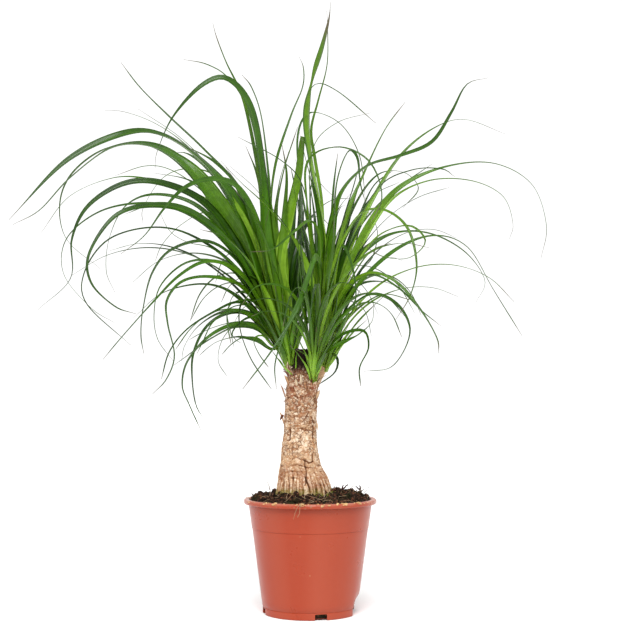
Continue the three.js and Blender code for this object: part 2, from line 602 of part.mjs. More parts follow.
// True if a blade touches another within the clearance, by points on both edges and the middle of it.
function touches(blade, other) {
  for (const { middle, across, half } of blade.samples) {
    for (const lane of [-1, 0, 1]) {
      const p = middle.clone().addScaledVector(across, lane * half);
      if (other.box.distanceToPoint(p) > CLEARANCE.far) continue;
      for (const near of other.samples) {
        const away = p.clone().sub(near.middle);
        if (away.lengthSq() > other.reach * other.reach) continue;
        const along = near.across.clone().cross(near.top);
        const beside = Math.abs(away.dot(near.across)) < near.half + CLEARANCE.edge;
        const above = Math.abs(away.dot(near.top)) < CLEARANCE.face;
        if (beside && above && Math.abs(away.dot(along)) < other.pitch) return true;
      }
    }
  }
  return false;
}

// Points along the straight stretches of a blade, which the clearance test reads.
function sampled(leaf) {
  const stops = stations(leaf, stretches(leaf));
  const samples = [];
  for (let k = 0; k + 1 < stops.length; k += 1) {
    const [low, high] = [stops[k], stops[k + 1]];
    for (let i = 0; i < CLEARANCE.between; i += 1) {
      const share = i / CLEARANCE.between;
      const blend = (name) => low[name].clone().lerp(high[name], share);
      const half = mix(low.half, high.half, share);
      samples.push({ middle: blend("middle"), across: blend("across"), top: blend("top"), half });
    }
  }
  const pitch = samples[0].middle.distanceTo(samples[1].middle) * CLEARANCE.lap;
  const box = new THREE.Box3().setFromPoints(samples.map((s) => s.middle));
  return { samples, pitch, box, reach: leaf.width / 2 + CLEARANCE.edge + CLEARANCE.face + pitch };
}

// The leaf bent further back or forward, more towards its tip.
function bentBy(leaf, amount) {
  const count = leaf.knots.length - 1;
  const knots = leaf.knots.map((knot, i) => {
    const moved = amount * Math.pow(i / count, LEAN_POWER);
    const scale = (EYE.away + knot.y + moved) / (EYE.away + knot.y);
    return new THREE.Vector3(knot.x * scale, knot.y + moved, EYE.high + (knot.z - EYE.high) * scale);
  });
  return { ...leaf, knots };
}

// All leaves, each bent clear of the leaves of the other shoots.
function crown() {
  const wanted = [];
  for (const [shoot, rows] of Object.entries(SEEN_LEAVES)) {
    rows.forEach((row, i) => {
      wanted.push(seenLeaf(shoot, row, ((i * CORE.order) % rows.length) / rows.length));
    });
  }
  for (const [shoot, rule] of Object.entries(FILL_LEAVES)) {
    const draw = draws(rule.seed);
    for (let i = 0; i < rule.count; i += 1) {
      wanted.push(fillLeaf(shoot, rule, (i + 0.5) / rule.count, draw));
    }
  }
  const placed = [];
  for (const leaf of wanted) {
    for (let go = 0; go < CLEARANCE.tries; go += 1) {
      const amount = CLEARANCE.nudge * Math.ceil(go / 2) * (go % 2 ? 1 : -1);
      const tried = bentBy(leaf, amount);
      const blade = sampled(tried);
      const others = placed.filter((p) => p.leaf.shoot !== leaf.shoot);
      const clear = others.every((p) => !touches(blade, p.blade) && !touches(p.blade, blade));
      if (clear || go === CLEARANCE.tries - 1) {
        placed.push({ leaf: tried, blade, clear });
        break;
      }
    }
  }
  return placed.filter((p) => p.clear).map((p) => p.leaf);
}

function bladeSolid(leaf) {
  const loops = stations(leaf, stretches(leaf)).map(({ middle, across, top, half, share }) => [
    middle.clone().addScaledVector(across, half),
    middle.clone().addScaledVector(top, -mix(BLADE.keel, BLADE.tipKeel, share)),
    middle.clone().addScaledVector(across, -half),
  ]);
  return loft(loops, true);
}

function coreSolid(shoot) {
  const { seat, lean } = SHOOTS[shoot];
  const way = vector(lean).normalize();
  const at = (share) => vector(seat).addScaledVector(way, CORE.height * share);
  const size = shoot === "front" ? CORE.frontShare : 1;
  const low = taper(at(-CORE.sunk), at(CORE.waist), CORE.low * size, CORE.middle * size, 0, CORE.sides);
  return low.add(taper(at(CORE.waist - CORE.lap), at(1), CORE.middle * size, CORE.top * size, 0, CORE.sides));
}

// The largest body of a solid, so that no loose scrap stays.
function mainBody(solid) {
  return solid.decompose().reduce((best, body) => (body.volume() > best.volume() ? body : best));
}

const plastic = new THREE.MeshStandardMaterial({ color: "#c4593f", roughness: 0.42, metalness: 0 });
const earth = new THREE.MeshStandardMaterial({ color: "#2b1d15", roughness: 0.95, metalness: 0 });
const bark = new THREE.MeshStandardMaterial({ color: "#b98f66", roughness: 0.85, metalness: 0 });
const leafGreen = new THREE.MeshStandardMaterial({ color: "#4c8a22", roughness: 0.45, metalness: 0 });

const trunkSpace = trunkSolid(GAP);
const leaves = crown();
const plant = new THREE.Group();
plant.add(meshOf(potSolid(), "pot", plastic));
plant.add(meshOf(soilSolid(trunkSpace), "soil", earth));
plant.add(meshOf(trunkSolid(0), "trunk", bark));
for (const shoot of Object.keys(SHOOTS)) {
  const blades = leaves.filter((leaf) => leaf.shoot === shoot).map(bladeSolid);
  const whole = wasm.Manifold.union([coreSolid(shoot), ...blades]);
  plant.add(meshOf(mainBody(whole.subtract(trunkSpace)), `shoot_${shoot}`, leafGreen));
}

export default plant;
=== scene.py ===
import math

import bpy
import numpy as np
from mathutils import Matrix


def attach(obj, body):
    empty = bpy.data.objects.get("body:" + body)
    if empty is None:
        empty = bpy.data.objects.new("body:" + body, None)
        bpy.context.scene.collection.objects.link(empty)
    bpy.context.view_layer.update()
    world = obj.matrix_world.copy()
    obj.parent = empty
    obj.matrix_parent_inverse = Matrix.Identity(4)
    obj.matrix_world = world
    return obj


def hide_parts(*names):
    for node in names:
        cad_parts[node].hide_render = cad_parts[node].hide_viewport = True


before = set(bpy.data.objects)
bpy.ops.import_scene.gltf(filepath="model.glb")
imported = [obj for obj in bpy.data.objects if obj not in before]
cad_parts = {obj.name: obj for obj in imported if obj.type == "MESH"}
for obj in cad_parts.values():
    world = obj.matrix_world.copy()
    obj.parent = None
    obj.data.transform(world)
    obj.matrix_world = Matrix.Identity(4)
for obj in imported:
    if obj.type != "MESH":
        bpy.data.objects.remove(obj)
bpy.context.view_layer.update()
print("model loaded")

mm = 0.001


# camera, at the photo's viewing angle

cameraSetup = {
    "place": (1.3, -1250, 227),  # millimetres
    "tiltUp": 3.34,              # degrees above level
    "lens": 71.4, "sensor": 36,
    "farthest": 50,              # metres
}


def addObject(name, data):
    thing = bpy.data.objects.new(name, data)
    bpy.context.scene.collection.objects.link(thing)
    return thing


def makeCamera():
    s = cameraSetup
    data = bpy.data.cameras.new("photoCamera")
    data.lens, data.sensor_width, data.clip_end = s["lens"], s["sensor"], s["farthest"]
    camera = addObject("photoCamera", data)
    camera.location = [v * mm for v in s["place"]]
    camera.rotation_euler = (math.radians(90 + s["tiltUp"]), 0, 0)
    bpy.context.scene.camera = camera


makeCamera()
print("camera placed")


# small helpers for numbers

def mix(low, high, share):
    return low + (high - low) * share


def smooth(low, high, value):
    share = np.clip((value - low) / (high - low), 0, 1)
    return share * share * (3 - 2 * share)


def unit(rows):
    rows = np.asarray(rows, float)
    return rows / np.maximum(np.linalg.norm(rows, axis=-1, keepdims=True), 1e-12)


def drawing(seed):
    # repeatable draws between 0 and 1
    state = [seed]

    def draw():
        state[0] = state[0] * 16807 % 2147483647
        return state[0] / 2147483647
    return draw


def scatter(cells, seed):
    # a repeatable number between 0 and 1 for each whole-numbered cell
    cells = cells.astype(np.int64)
    n = cells[..., 0] * 73856093 ^ cells[..., 1] * 19349663 ^ cells[..., 2] * 83492791 ^ seed * 26544357
    n = (n ^ (n >> 13)) * 1274126177 & 0xffffffff
    n = (n ^ (n >> 16)) * 668265263 & 0xffffffff
    return ((n ^ (n >> 15)) & 0xffff) / 65535


def bumps(points, size, seed, layers=1):
    # soft noise between -1 and 1 with lumps of that size
    total, weight = np.zeros(len(points)), 0
    for layer in range(layers):
        p = points / size * 2 ** layer
        base = np.floor(p)
        f = p - base
        f = f * f * (3 - 2 * f)
        value = np.zeros(len(points))
        for corner in np.ndindex(2, 2, 2):
            share = np.prod(np.where(corner, f, 1 - f), axis=1)
            value += share * scatter(base + corner, seed + layer)
        total += (value * 2 - 1) / 2 ** layer
        weight += 1 / 2 ** layer
    return total / weight


def plates(points, seed):
    # cracked cells about 1 wide: distance to the nearest crack, and a number for each cell
    base = np.floor(points)
    first = np.full(len(points), np.inf)
    second = np.full(len(points), np.inf)
    mark = np.zeros(len(points))
    for corner in np.ndindex(3, 3, 3):
        cell = base + np.array(corner) - 1
        spot = cell + np.stack([scatter(cell, seed + i) for i in range(3)], axis=1)
        away = np.linalg.norm(points - spot, axis=1)
        nearer = away < first
        second = np.where(nearer, first, np.minimum(second, away))
        mark = np.where(nearer, scatter(cell, seed + 7), mark)
        first = np.minimum(first, away)
    return second - first, mark


# small helpers for shapes; points are in millimetres

def loftFaces(rings, count):
    # quads between rings of points, and a cap at each end
    faces = []
    for k in range(rings - 1):
        for i in range(count):
            a, b = k * count + i, k * count + (i + 1) % count
            faces.append((a, b, b + count, a + count))
    faces.append(tuple(reversed(range(count))))
    faces.append(tuple(range((rings - 1) * count, rings * count)))
    return faces


def around(count):
    # angles at even steps round a full turn
    return np.linspace(0, 2 * math.pi, count, endpoint=False)


def tube(path, radii, sides=6):
    # a closed thin stalk along a path
    path = np.asarray(path, float)
    along = unit(np.gradient(path, axis=0))
    side = unit(np.cross(along, (0.31, 0.22, 0.93)))
    up = np.cross(along, side)
    points = [path[k] + radii[k] * (math.cos(t) * side[k] + math.sin(t) * up[k])
              for k in range(len(path)) for t in around(sides)]
    return np.array(points), loftFaces(len(path), sides)


def gather(solids):
    # many small solids as one list of points and faces
    points, faces, start = [], [], 0
    for solid, solidFaces in solids:
        points.append(solid)
        faces += [tuple(i + start for i in f) for f in solidFaces]
        start += len(solid)
    return np.concatenate(points), faces


def makePiece(name, shape, material, replaces=None, attributes=None, flat=False):
    points, faces = shape
    mesh = bpy.data.meshes.new(name)
    mesh.from_pydata((np.asarray(points) * mm).tolist(), [], faces)
    for label, values in (attributes or {}).items():
        layer = mesh.attributes.new(label, "FLOAT_COLOR", "POINT")
        layer.data.foreach_set("color", np.asarray(values, np.float32).ravel())
    mesh.validate()
    if not flat:
        mesh.shade_smooth()
    mesh.materials.append(material)
    piece = addObject(name, mesh)
    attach(piece, "root")
    if replaces:
        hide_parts(replaces)
    return piece


def settle(piece):
    # applies the piece's modifiers to its mesh
    bpy.context.view_layer.update()
    graph = bpy.context.evaluated_depsgraph_get()
    finished = bpy.data.meshes.new_from_object(piece.evaluated_get(graph))
    piece.modifiers.clear()
    old = piece.data
    piece.data = finished
    bpy.data.meshes.remove(old)


# small helpers for materials

def newMaterial(name, settings):
    # a material with the shader's constant settings, its nodes, its shader and the object's own coordinates
    material = bpy.data.materials.new(name)
    material.use_nodes = True
    tree = material.node_tree
    shader = tree.nodes["Principled BSDF"]
    for label, value in settings.items():
        shader.inputs[label].default_value = value
    return material, tree, shader, addNode(tree, "ShaderNodeTexCoord").outputs["Object"]


def addNode(tree, kind, inputs=None, **settings):
    node = tree.nodes.new(kind)
    for key, value in settings.items():
        setattr(node, key, value)
    for key, value in (inputs or {}).items():
        if isinstance(value, bpy.types.NodeSocket):
            tree.links.new(value, node.inputs[key])
        else:
            node.inputs[key].default_value = value
    return node


def addRamp(tree, factor, stops):
    # stops are a position and a colour, or a position and a grey
    node = addNode(tree, "ShaderNodeValToRGB", {"Fac": factor})
    ramp = node.color_ramp
    while len(ramp.elements) < len(stops):
        ramp.elements.new(0.5)
    for element, (position, colour) in zip(ramp.elements, stops):
        element.position = position
        element.color = (*colour, 1) if isinstance(colour, tuple) else (colour, colour, colour, 1)
    return node.outputs["Color"]


def addMix(tree, factor, first, second):
    node = addNode(tree, "ShaderNodeMix", data_type="RGBA", blend_type="MIX")
    for index, value in ((0, factor), (6, first), (7, second)):
        if isinstance(value, bpy.types.NodeSocket):
            tree.links.new(value, node.inputs[index])
        else:
            node.inputs[index].default_value = (*value, 1) if isinstance(value, tuple) else value
    return node.outputs[2]


def addMath(tree, operation, first, second=0.0, clamp=False):
    inputs = {0: first, 1: second}
    return addNode(tree, "ShaderNodeMath", inputs, operation=operation, use_clamp=clamp).outputs[0]


def readMarks(tree, name):
    # the four values that each point of a mesh carries under that name
    marks = addNode(tree, "ShaderNodeAttribute", attribute_name=name).outputs
    return [*addNode(tree, "ShaderNodeSeparateColor", {"Color": marks["Color"]}).outputs, marks["Alpha"]]


def paint(tree, tone, layers, colours):
    # lays colours over a tone, one after the other, each through its mask
    for mask, name in layers:
        tone = addMix(tree, mask, tone, colours[name])
    return tone


def addVector(tree, operation, first, second):
    return addNode(tree, "ShaderNodeVectorMath", {0: first, 1: second}, operation=operation).outputs[0]


def times(tree, first, second):
    return addMath(tree, "MULTIPLY", first, second)


def addFade(tree, value, start, reach):
    # 0 below the start, 1 past it by the reach, both in millimetres; the other way round for a negative reach
    away = addMath(tree, "SUBTRACT", value, start * mm)
    return addMath(tree, "MULTIPLY", away, 1 / (reach * mm), True)


def addNoise(tree, coordinates, noise):
    # a noise is its scale, detail and roughness and, where it is stretched, its scale along X, Y and Z
    scale, detail, rough, *stretch = noise
    stretch = stretch[0] if stretch else (1, 1, 1)
    mapping = addNode(tree, "ShaderNodeMapping", {"Vector": coordinates, "Scale": stretch})
    inputs = {"Vector": mapping.outputs[0], "Scale": scale, "Detail": detail, "Roughness": rough}
    return addNode(tree, "ShaderNodeTexNoise", inputs).outputs["Fac"]


def addBump(tree, height, distance, strength, normal=None):
    inputs = {"Height": height, "Distance": distance, "Strength": strength}
    if normal is not None:
        inputs["Normal"] = normal
    return addNode(tree, "ShaderNodeBump", inputs).outputs[0]


# pot

potSetup = {
    "height": 112.8, "rimRadius": 66.5, "rimDepth": 4.7, "neckRadius": 61.4,
    "rimRound": 2.2, "lipRound": 0.85, "edgeRound": 1.1,
    "ledgeHeight": 84.2, "ledgeStep": 0.35, "ledgeGroove": 0.18,
    "footHeight": 7.6, "footRadius": 47.3, "footStep": 0.4,
    "wall": 1.4, "floor": 1.6, "hub": 6, "floorRing": 30, "sides": 200, "wallSteps": 14,
    "notchCount": 4, "notchWidth": 12, "notchHeight": 6.1, "notchInner": 40.8, "notchOuter": 58.8,
    "notchFirst": -77, "notchCorner": 1.1,
    "recessAngle": -5, "recessSpread": 24, "recessDepth": 5.2, "recessTop": 22, "recessFull": 7,
    "sharpAngle": 40,
    "colour": (0.30, 0.034, 0.009), "paler": (0.33, 0.050, 0.018), "bloom": (0.37, 0.090, 0.050),
    # the last colour on the next line is the rim's pale dust together with its painted highlight
    "dirt": (0.07, 0.035, 0.02), "dust": (0.44, 0.25, 0.13), "rimDustAndHighlight": (0.45, 0.20, 0.135),
    "cloud": (14, 2, 0.5), "streak": (60, 3, 0.6, (1, 1, 0.08)), "band": (19, 1, 0.4, (1, 1, 0.03)),
    "bloomNoise": (120, 3, 0.6), "grime": (330, 3, 0.7), "gloss": (45, 3, 0.6), "grain": (900, 2, 0.6),
    # specks of dust: how many, how rare, how large and how strong
    "specks": 105, "speckShare": 0.93, "speckEdge": [(0.02, 1), (0.09, 0)], "speckStrength": 0.75,
    # parts of the pot's height and of the rim's radius where the rim's top turns dusty and takes a painted
    # highlight, and where its two ends, as seen from the front, take a painted highlight
    "nearRim": [(0.94, 0), (0.97, 1)], "rimTopDustAndHighlight": [(0.978, 0), (0.992, 0.55)],
    "rimEndHighlight": [(0.84, 0), (0.97, 0.8)],
    "shader": {"Specular IOR Level": 0.3, "Sheen Weight": 0.04, "Sheen Roughness": 0.35},
}


def wallRadius(height):
    s = potSetup
    low, start = s["footRadius"] + s["footStep"], s["footHeight"]
    return mix(low, s["neckRadius"], (height - start) / (s["height"] - s["rimDepth"] - start))


def pressRecess(points):
    # pushes the foot's right-hand side in
    s = potSetup
    radius = np.hypot(points[:, 0], points[:, 1])
    angle = np.arctan2(points[:, 1], points[:, 0]) - math.radians(s["recessAngle"])
    away = np.abs(np.arctan2(np.sin(angle), np.cos(angle))) / math.radians(s["recessSpread"])
    press = s["recessDepth"] * (1 - smooth(0.45, 1, away))
    press = press * (1 - smooth(s["recessFull"], s["recessTop"], points[:, 2]))
    share = np.where(radius > 20, (radius - press) / np.maximum(radius, 1e-6), 1)
    points[:, :2] *= share[:, None]
    return points


def arc(centre, radius, first, last, steps):
    # points of a round corner, angles in degrees
    turns = [math.radians(mix(first, last, i / steps)) for i in range(steps + 1)]
    return [(centre[0] + radius * math.cos(t), centre[1] + radius * math.sin(t)) for t in turns]


def potProfile():
    s = potSetup
    top, rim, neck, wall, edge = s["height"], s["rimRadius"], s["neckRadius"], s["wall"], s["edgeRound"]
    rimLow, foot, footTop, ledge = top - s["rimDepth"], s["footRadius"], s["footHeight"], s["ledgeHeight"]
    count = s["wallSteps"]
    steps = [mix(footTop + 0.6, ledge - 0.8, i / count) for i in range(count + 1)]
    profile = [(s["hub"], 0), (s["floorRing"], 0)] + arc((foot - 1.2, edge), edge, -90, 0, 4)
    # the fine groove over the foot, the wall and the ledge
    profile += [(foot, footTop - 1.1), (foot - 0.4, footTop - 0.7), (foot - 0.2, footTop - 0.2)]
    profile += [(wallRadius(h), h) for h in steps]
    ledgeRadius = wallRadius(ledge)
    profile += [(ledgeRadius - s["ledgeGroove"], ledge - 0.35), (ledgeRadius + s["ledgeStep"], ledge)]
    profile += [(mix(ledgeRadius, neck, i / 4) + s["ledgeStep"], mix(ledge + 0.5, rimLow - 0.9, i / 4))
                for i in range(5)]
    # the rim, from under it over its top to the inside
    profile += [(neck, rimLow + 0.1)]
    profile += arc((rim - edge, rimLow + edge), edge, -90, 0, 4)
    profile += arc((rim - s["rimRound"], top - s["rimRound"]), s["rimRound"], 0, 90, 8)
    profile += arc((neck + 0.6, top - 1.0), s["lipRound"], 90, 180, 4)
    profile += [(neck - wall + 0.6, rimLow + 0.4), (neck - wall - 0.1, rimLow - 1.2)]
    profile += [(wallRadius(h) - wall, h) for h in reversed(steps)]
    profile += [(foot - wall, s["floor"] + 1.0), (foot - wall - 1, s["floor"])]
    return profile + [(s["floorRing"], s["floor"]), (s["hub"], s["floor"])]


def potMaterial():
    s = potSetup
    material, tree, shader, spot = newMaterial("potPlastic", s["shader"])
    sideways, _, height = addNode(tree, "ShaderNodeSeparateXYZ", {"Vector": spot}).outputs
    cloud, streak, band = (addNoise(tree, spot, s[name]) for name in ("cloud", "streak", "band"))
    # specks of dust
    specks = addNode(tree, "ShaderNodeTexVoronoi", {"Vector": spot, "Scale": s["specks"]})
    lot = addNode(tree, "ShaderNodeSeparateColor", {"Color": specks.outputs["Color"]}).outputs[0]
    dot = times(tree, addRamp(tree, specks.outputs["Distance"], s["speckEdge"]),
                addMath(tree, "GREATER_THAN", lot, s["speckShare"]))
    # pale dust and a painted highlight on the rim's top, a painted highlight at its two ends as seen from the
    # front, and grime all along it
    share = times(tree, height, 1 / (s["height"] * mm))
    aside = times(tree, addMath(tree, "ABSOLUTE", sideways), 1 / (s["rimRadius"] * mm))
    nearRim = addRamp(tree, share, s["nearRim"])
    pale = addMath(tree, "ADD", addRamp(tree, share, s["rimTopDustAndHighlight"]), addRamp(tree, aside, s["rimEndHighlight"]), True)
    bloom = addRamp(tree, addNoise(tree, spot, s["bloomNoise"]), [(0.4, 0.25), (0.65, 0.85)])
    tone = addMix(tree, times(tree, cloud, 0.55), s["colour"], s["paler"])
    tone = paint(tree, tone, [
        (addRamp(tree, streak, [(0.45, 0), (0.8, 0.14)]), "paler"),
        (addRamp(tree, band, [(0.42, 0), (0.62, 0.3)]), "bloom"),
        (times(tree, dot, s["speckStrength"]), "dust"),
        (times(tree, times(tree, bloom, pale), nearRim), "rimDustAndHighlight"),
    ], s)
    grime = addRamp(tree, addNoise(tree, spot, s["grime"]), [(0.57, 0), (0.66, 1)])
    grime = times(tree, times(tree, grime, nearRim), 0.8)
    tone = addMix(tree, grime, tone, addMix(tree, cloud, s["dirt"], s["dust"]))
    tree.links.new(tone, shader.inputs["Base Color"])
    gloss = addRamp(tree, addNoise(tree, spot, s["gloss"]), [(0.3, 0.26), (0.75, 0.38)])
    tree.links.new(gloss, shader.inputs["Roughness"])
    bump = addBump(tree, addNoise(tree, spot, s["grain"]), 0.00006, 0.5)
    tree.links.new(addBump(tree, streak, 0.00008, 0.35, bump), shader.inputs["Normal"])
    return material


def notchCutter():
    # one box through the foot for each notch, with rounded upper corners
    s = potSetup
    width, height, corner = s["notchWidth"], s["notchHeight"], s["notchCorner"]
    outline = [(-width / 2, -height), (width / 2, -height)]
    outline += arc((width / 2 - corner, height - corner), corner, 0, 90, 4)
    outline += arc((corner - width / 2, height - corner), corner, 90, 180, 4)
    box = np.array([(x, y, z) for x in (s["notchInner"], s["notchOuter"]) for y, z in outline])
    boxes = []
    for k in range(s["notchCount"]):
        turn = math.radians(s["notchFirst"] + 360 / s["notchCount"] * k)
        along, aside = math.cos(turn), math.sin(turn)
        spin = np.array([[along, aside, 0], [-aside, along, 0], [0, 0, 1]])
        boxes.append((box @ spin, loftFaces(2, len(outline))))
    points, faces = gather(boxes)
    mesh = bpy.data.meshes.new("notchCutter")
    mesh.from_pydata((points * mm).tolist(), [], faces)
    return addObject("notchCutter", mesh)


def makePot():
    s = potSetup
    profile = potProfile()
    rings = [[(r * math.cos(t), r * math.sin(t), z) for t in around(s["sides"])] for r, z in profile]
    points = pressRecess(np.array(rings).reshape(-1, 3))
    # the two caps become flat discs under and above the floor
    shape = points, loftFaces(len(profile), s["sides"])
    pot = makePiece("potShell", shape, potMaterial(), "pot")
    cutter = notchCutter()
    cut = pot.modifiers.new("notches", "BOOLEAN")
    cut.operation, cut.solver, cut.object = "DIFFERENCE", "EXACT", cutter
    settle(pot)
    bpy.data.objects.remove(cutter)
    pot.data.set_sharp_from_angle(angle=math.radians(s["sharpAngle"]))


makePot()
print("pot made")


# trunk

trunkSetup = {
    # height, centre and radius up the trunk
    "rings": [(88, -7, 20), (98, -7, 26.5), (110, -6.5, 28.5), (119.5, -6, 27), (126, -6.6, 25.8),
              (133, -7.6, 24.2), (145.5, -9.8, 21), (159.5, -10.5, 18.6), (173.5, -10.4, 17.2),
              (190, -9.8, 16.5), (203, -9.2, 16.3), (215.5, -8.7, 16.2), (225, -8.3, 16),
              (232, -7.8, 14.8), (240, -7, 12.4), (248, -6.6, 10.6), (256, -6.8, 9.8), (263, -7, 9.4)],
    "ringStep": 2, "sides": 90, "voxel": 0.72, "relaxSteps": 8,
    # noises of the relief: size of the lumps, seed, and a last number that is lower for longer upright lumps
    "lumps": {"wander": (14, 3, 1), "waver": (4.5, 4, 1), "scarred": (8, 5, 0.6), "cracked": (4.2, 61, 1),
              "chipped": (2.4, 63, 1), "splitWay": (16, 35, 0.35), "splitPlace": (9, 36, 0.7),
              "furrowWay": (10, 31, 0.4), "furrowPlace": (6, 37, 0.5), "thinWay": (7, 33, 0.4),
              "swells": (15, 1, 1), "dents": (4.5, 2, 1), "pits": (1.7, 6, 1), "cutFace": (2.0, 8, 0.3)},
    "scarPitch": 6.1, "scarDepth": 0.5, "scarWidth": 0.65,
    "flake": (7.0, 7.0, 4.4), "flakeStep": 0.8, "chip": (3.2, 3.2, 2.3), "chipStep": 0.42,
    "warp": 1.9,                 # how far the flakes' outlines bend
    "roughFrom": (180, 198),     # the bark gets rougher between these heights
    "furrowTop": 154, "footReach": 38, "furrowDepth": 2.1, "thinDepth": 1.5, "furrows": 27,
    "splitTurns": 5.5, "splitDepth": 0.8,
    "cutLow": 235, "cutCentre": -6.9, "cutReach": (12.5, 15.5),
    # cracks seen in front, as x and height along them, and patches: place, half width, half height and tone
    "cracks": [[-20, 183, -20.3, 171], [-6, 152, -3.5, 140, -5, 127], [2, 158, 2.4, 150, -3, 148],
               [4, 186, 3, 172], [-1, 200, -5, 193], [2, 195, 4, 188], [-17, 217, -12, 213]],
    "patches": [(-4, 193, 6, 3, 1), (-23, 179, 3.2, 3.6, 0.9), (-9, 174, 9, 3.6, 0.8), (-14, 158, 7, 3, 0.7),
                (6, 152, 2.4, 4, 0.95), (5, 197, 3, 5, 0.9), (-22, 163, 1.5, 2.2, 0.1),
                (-17.5, 163, 1.6, 2.4, 0.05), (-28, 138, 4, 7, 0.1), (-15, 202, 7, 2.4, 0.15),
                # the dark patches from height 222 to 246, with tones of 0.2 and below, are painted shade
                # under the shoots
                (-24, 206, 3, 4, 0.8), (0, 210, 6, 2, 0.85), (-23, 246, 5, 5, 0.02), (-13, 241, 5, 4, 0.1),
                (-3, 236, 5, 4, 0.2), (3, 222, 5, 3, 0.05), (-19, 229, 4, 2.5, 0.9), (-8, 231, 3, 3, 0.95)],
    "crackWidth": 0.6,
    "gap": (0.09, 0.035, 0.014), "tan": (0.51, 0.32, 0.18), "pale": (0.80, 0.66, 0.50),
    "brown": (0.20, 0.075, 0.030), "orange": (0.42, 0.18, 0.070), "red": (0.24, 0.070, 0.034),
    # the last of these three colours is painted shade: it darkens the cut top under the shoots nearly to
    # black
    "dark": (0.030, 0.011, 0.005), "moss": (0.17, 0.19, 0.016), "shadedTop": (0.012, 0.005, 0.003),
    "cloud": (75, 3, 0.6, (1, 1, 1.5)), "patch": (150, 4, 0.62, (1, 1, 1.8)),
    "warm": (210, 3, 0.6, (1, 1, 1.7)), "grain": (480, 3, 0.7, (1, 1, 1.6)),
    "fibre": (480, 3, 0.6, (1, 1, 0.14)), "torn": (120, 2, 0.5),
    # small flakes in the bark's colour: how many, how flat, how far and how finely their outlines bend
    "cells": 300, "cellShape": (1, 1, 1.3), "ragged": 4,
    "bend": {"Scale": 190, "Detail": 3, "Roughness": 0.65},
    # where some colours start, and over what height they come in, upwards or downwards
    "rustFrom": (186, 34), "lowRustFrom": (148, -8), "cellsFrom": (134, 30), "mossFrom": (126, -9),
    "shadeFrom": (230, 17),
    "rust": 1.05, "leastRust": 0.06, "footRust": 0.45,
    "shader": {"Roughness": 0.75, "Specular IOR Level": 0.12},
}

shootSetup = {
    # where each shoot sits and how its tip leans, and its stub: start and end, radii, dry scales
    "left": {"seat": (-20, 1, 243), "lean": (-0.22, 0.02, 1),
             "stub": [(-10, 1, 218), (-20, 1, 245.5)], "radii": (9, 5.8), "scales": 34},
    "right": {"seat": (14, 3, 243), "lean": (0.3, 0.03, 1),
              "stub": [(-4, 2, 218), (13, 3, 245)], "radii": (9, 4.8), "scales": 9},
    "front": {"seat": (3, -16, 231), "lean": (0.1, -0.3, 1),
              "stub": [(-3, -6, 212), (3, -14.5, 230)], "radii": (8.5, 4.6), "scales": 14},
}


def peg(low, high, lowRadius, highRadius, sides=28, rounds=10):
    # a closed tapered peg
    low, high = np.array(low, float), np.array(high, float)
    along = unit(high - low)
    across = unit(np.cross(along, (0.3, 1, 0.1)))
    other = np.cross(along, across)
    points = []
    for k in range(rounds + 1):
        radius = mix(lowRadius, highRadius, k / rounds)
        for i in range(sides):
            turn = 2 * math.pi * i / sides
            away = math.cos(turn) * across + math.sin(turn) * other
            points.append(mix(low, high, k / rounds) + radius * away)
    return np.array(points), loftFaces(rounds + 1, sides)


def trunkRings():
    # heights, centres and radii
    return [np.array(v, float) for v in zip(*trunkSetup["rings"])]


def trunkShape():
    s = trunkSetup
    heights, centres, radii = trunkRings()
    levels = np.arange(heights[0], heights[-1] + 0.1, s["ringStep"])
    points = []
    for level in levels:
        centre, radius = np.interp(level, heights, centres), np.interp(level, heights, radii)
        for i in range(s["sides"]):
            turn = 2 * math.pi * i / s["sides"]
            points.append((centre + radius * math.cos(turn), radius * math.sin(turn), level))
    stubs = [peg(*shoot["stub"], *shoot["radii"]) for shoot in shootSetup.values()]
    return gather([(np.array(points), loftFaces(len(levels), s["sides"]))] + stubs)


def drawnMarks(x, y, z):
    # the cracks and patches that are drawn one by one on the front; the dark patches high up are painted
    # shade under the shoots
    s = trunkSetup
    front = 1 - smooth(-6, -2, y)
    wobble = 0.6 * bumps(np.stack([x, y, z], axis=1), 2.5, 71)
    crack = np.zeros(len(x))
    for line in s["cracks"]:
        lineX, lineZ = np.array(line[0::2], float), np.array(line[1::2], float)
        at = np.interp(-z, -lineZ, lineX)
        inside = smooth(-0.8, 0.8, z - lineZ.min()) * smooth(-0.8, 0.8, lineZ.max() - z)
        crack = np.maximum(crack, np.exp(-((x - at + wobble) / s["crackWidth"]) ** 2) * inside)
    tone, amount = np.full(len(x), 0.5), np.zeros(len(x))
    for patchX, patchZ, wide, high, value in s["patches"]:
        away = np.hypot((x - patchX) / wide, (z - patchZ) / high) + 0.45 * wobble
        share = 0.85 * (1 - smooth(0.7, 1.1, away)) * front
        tone = np.where(share > amount, value, tone)
        amount = np.maximum(amount, share)
    return crack * front, tone, amount


def lumps(points, name):
    size, seed, upright = trunkSetup["lumps"][name]
    return bumps(points * (1, 1, upright), size, seed)


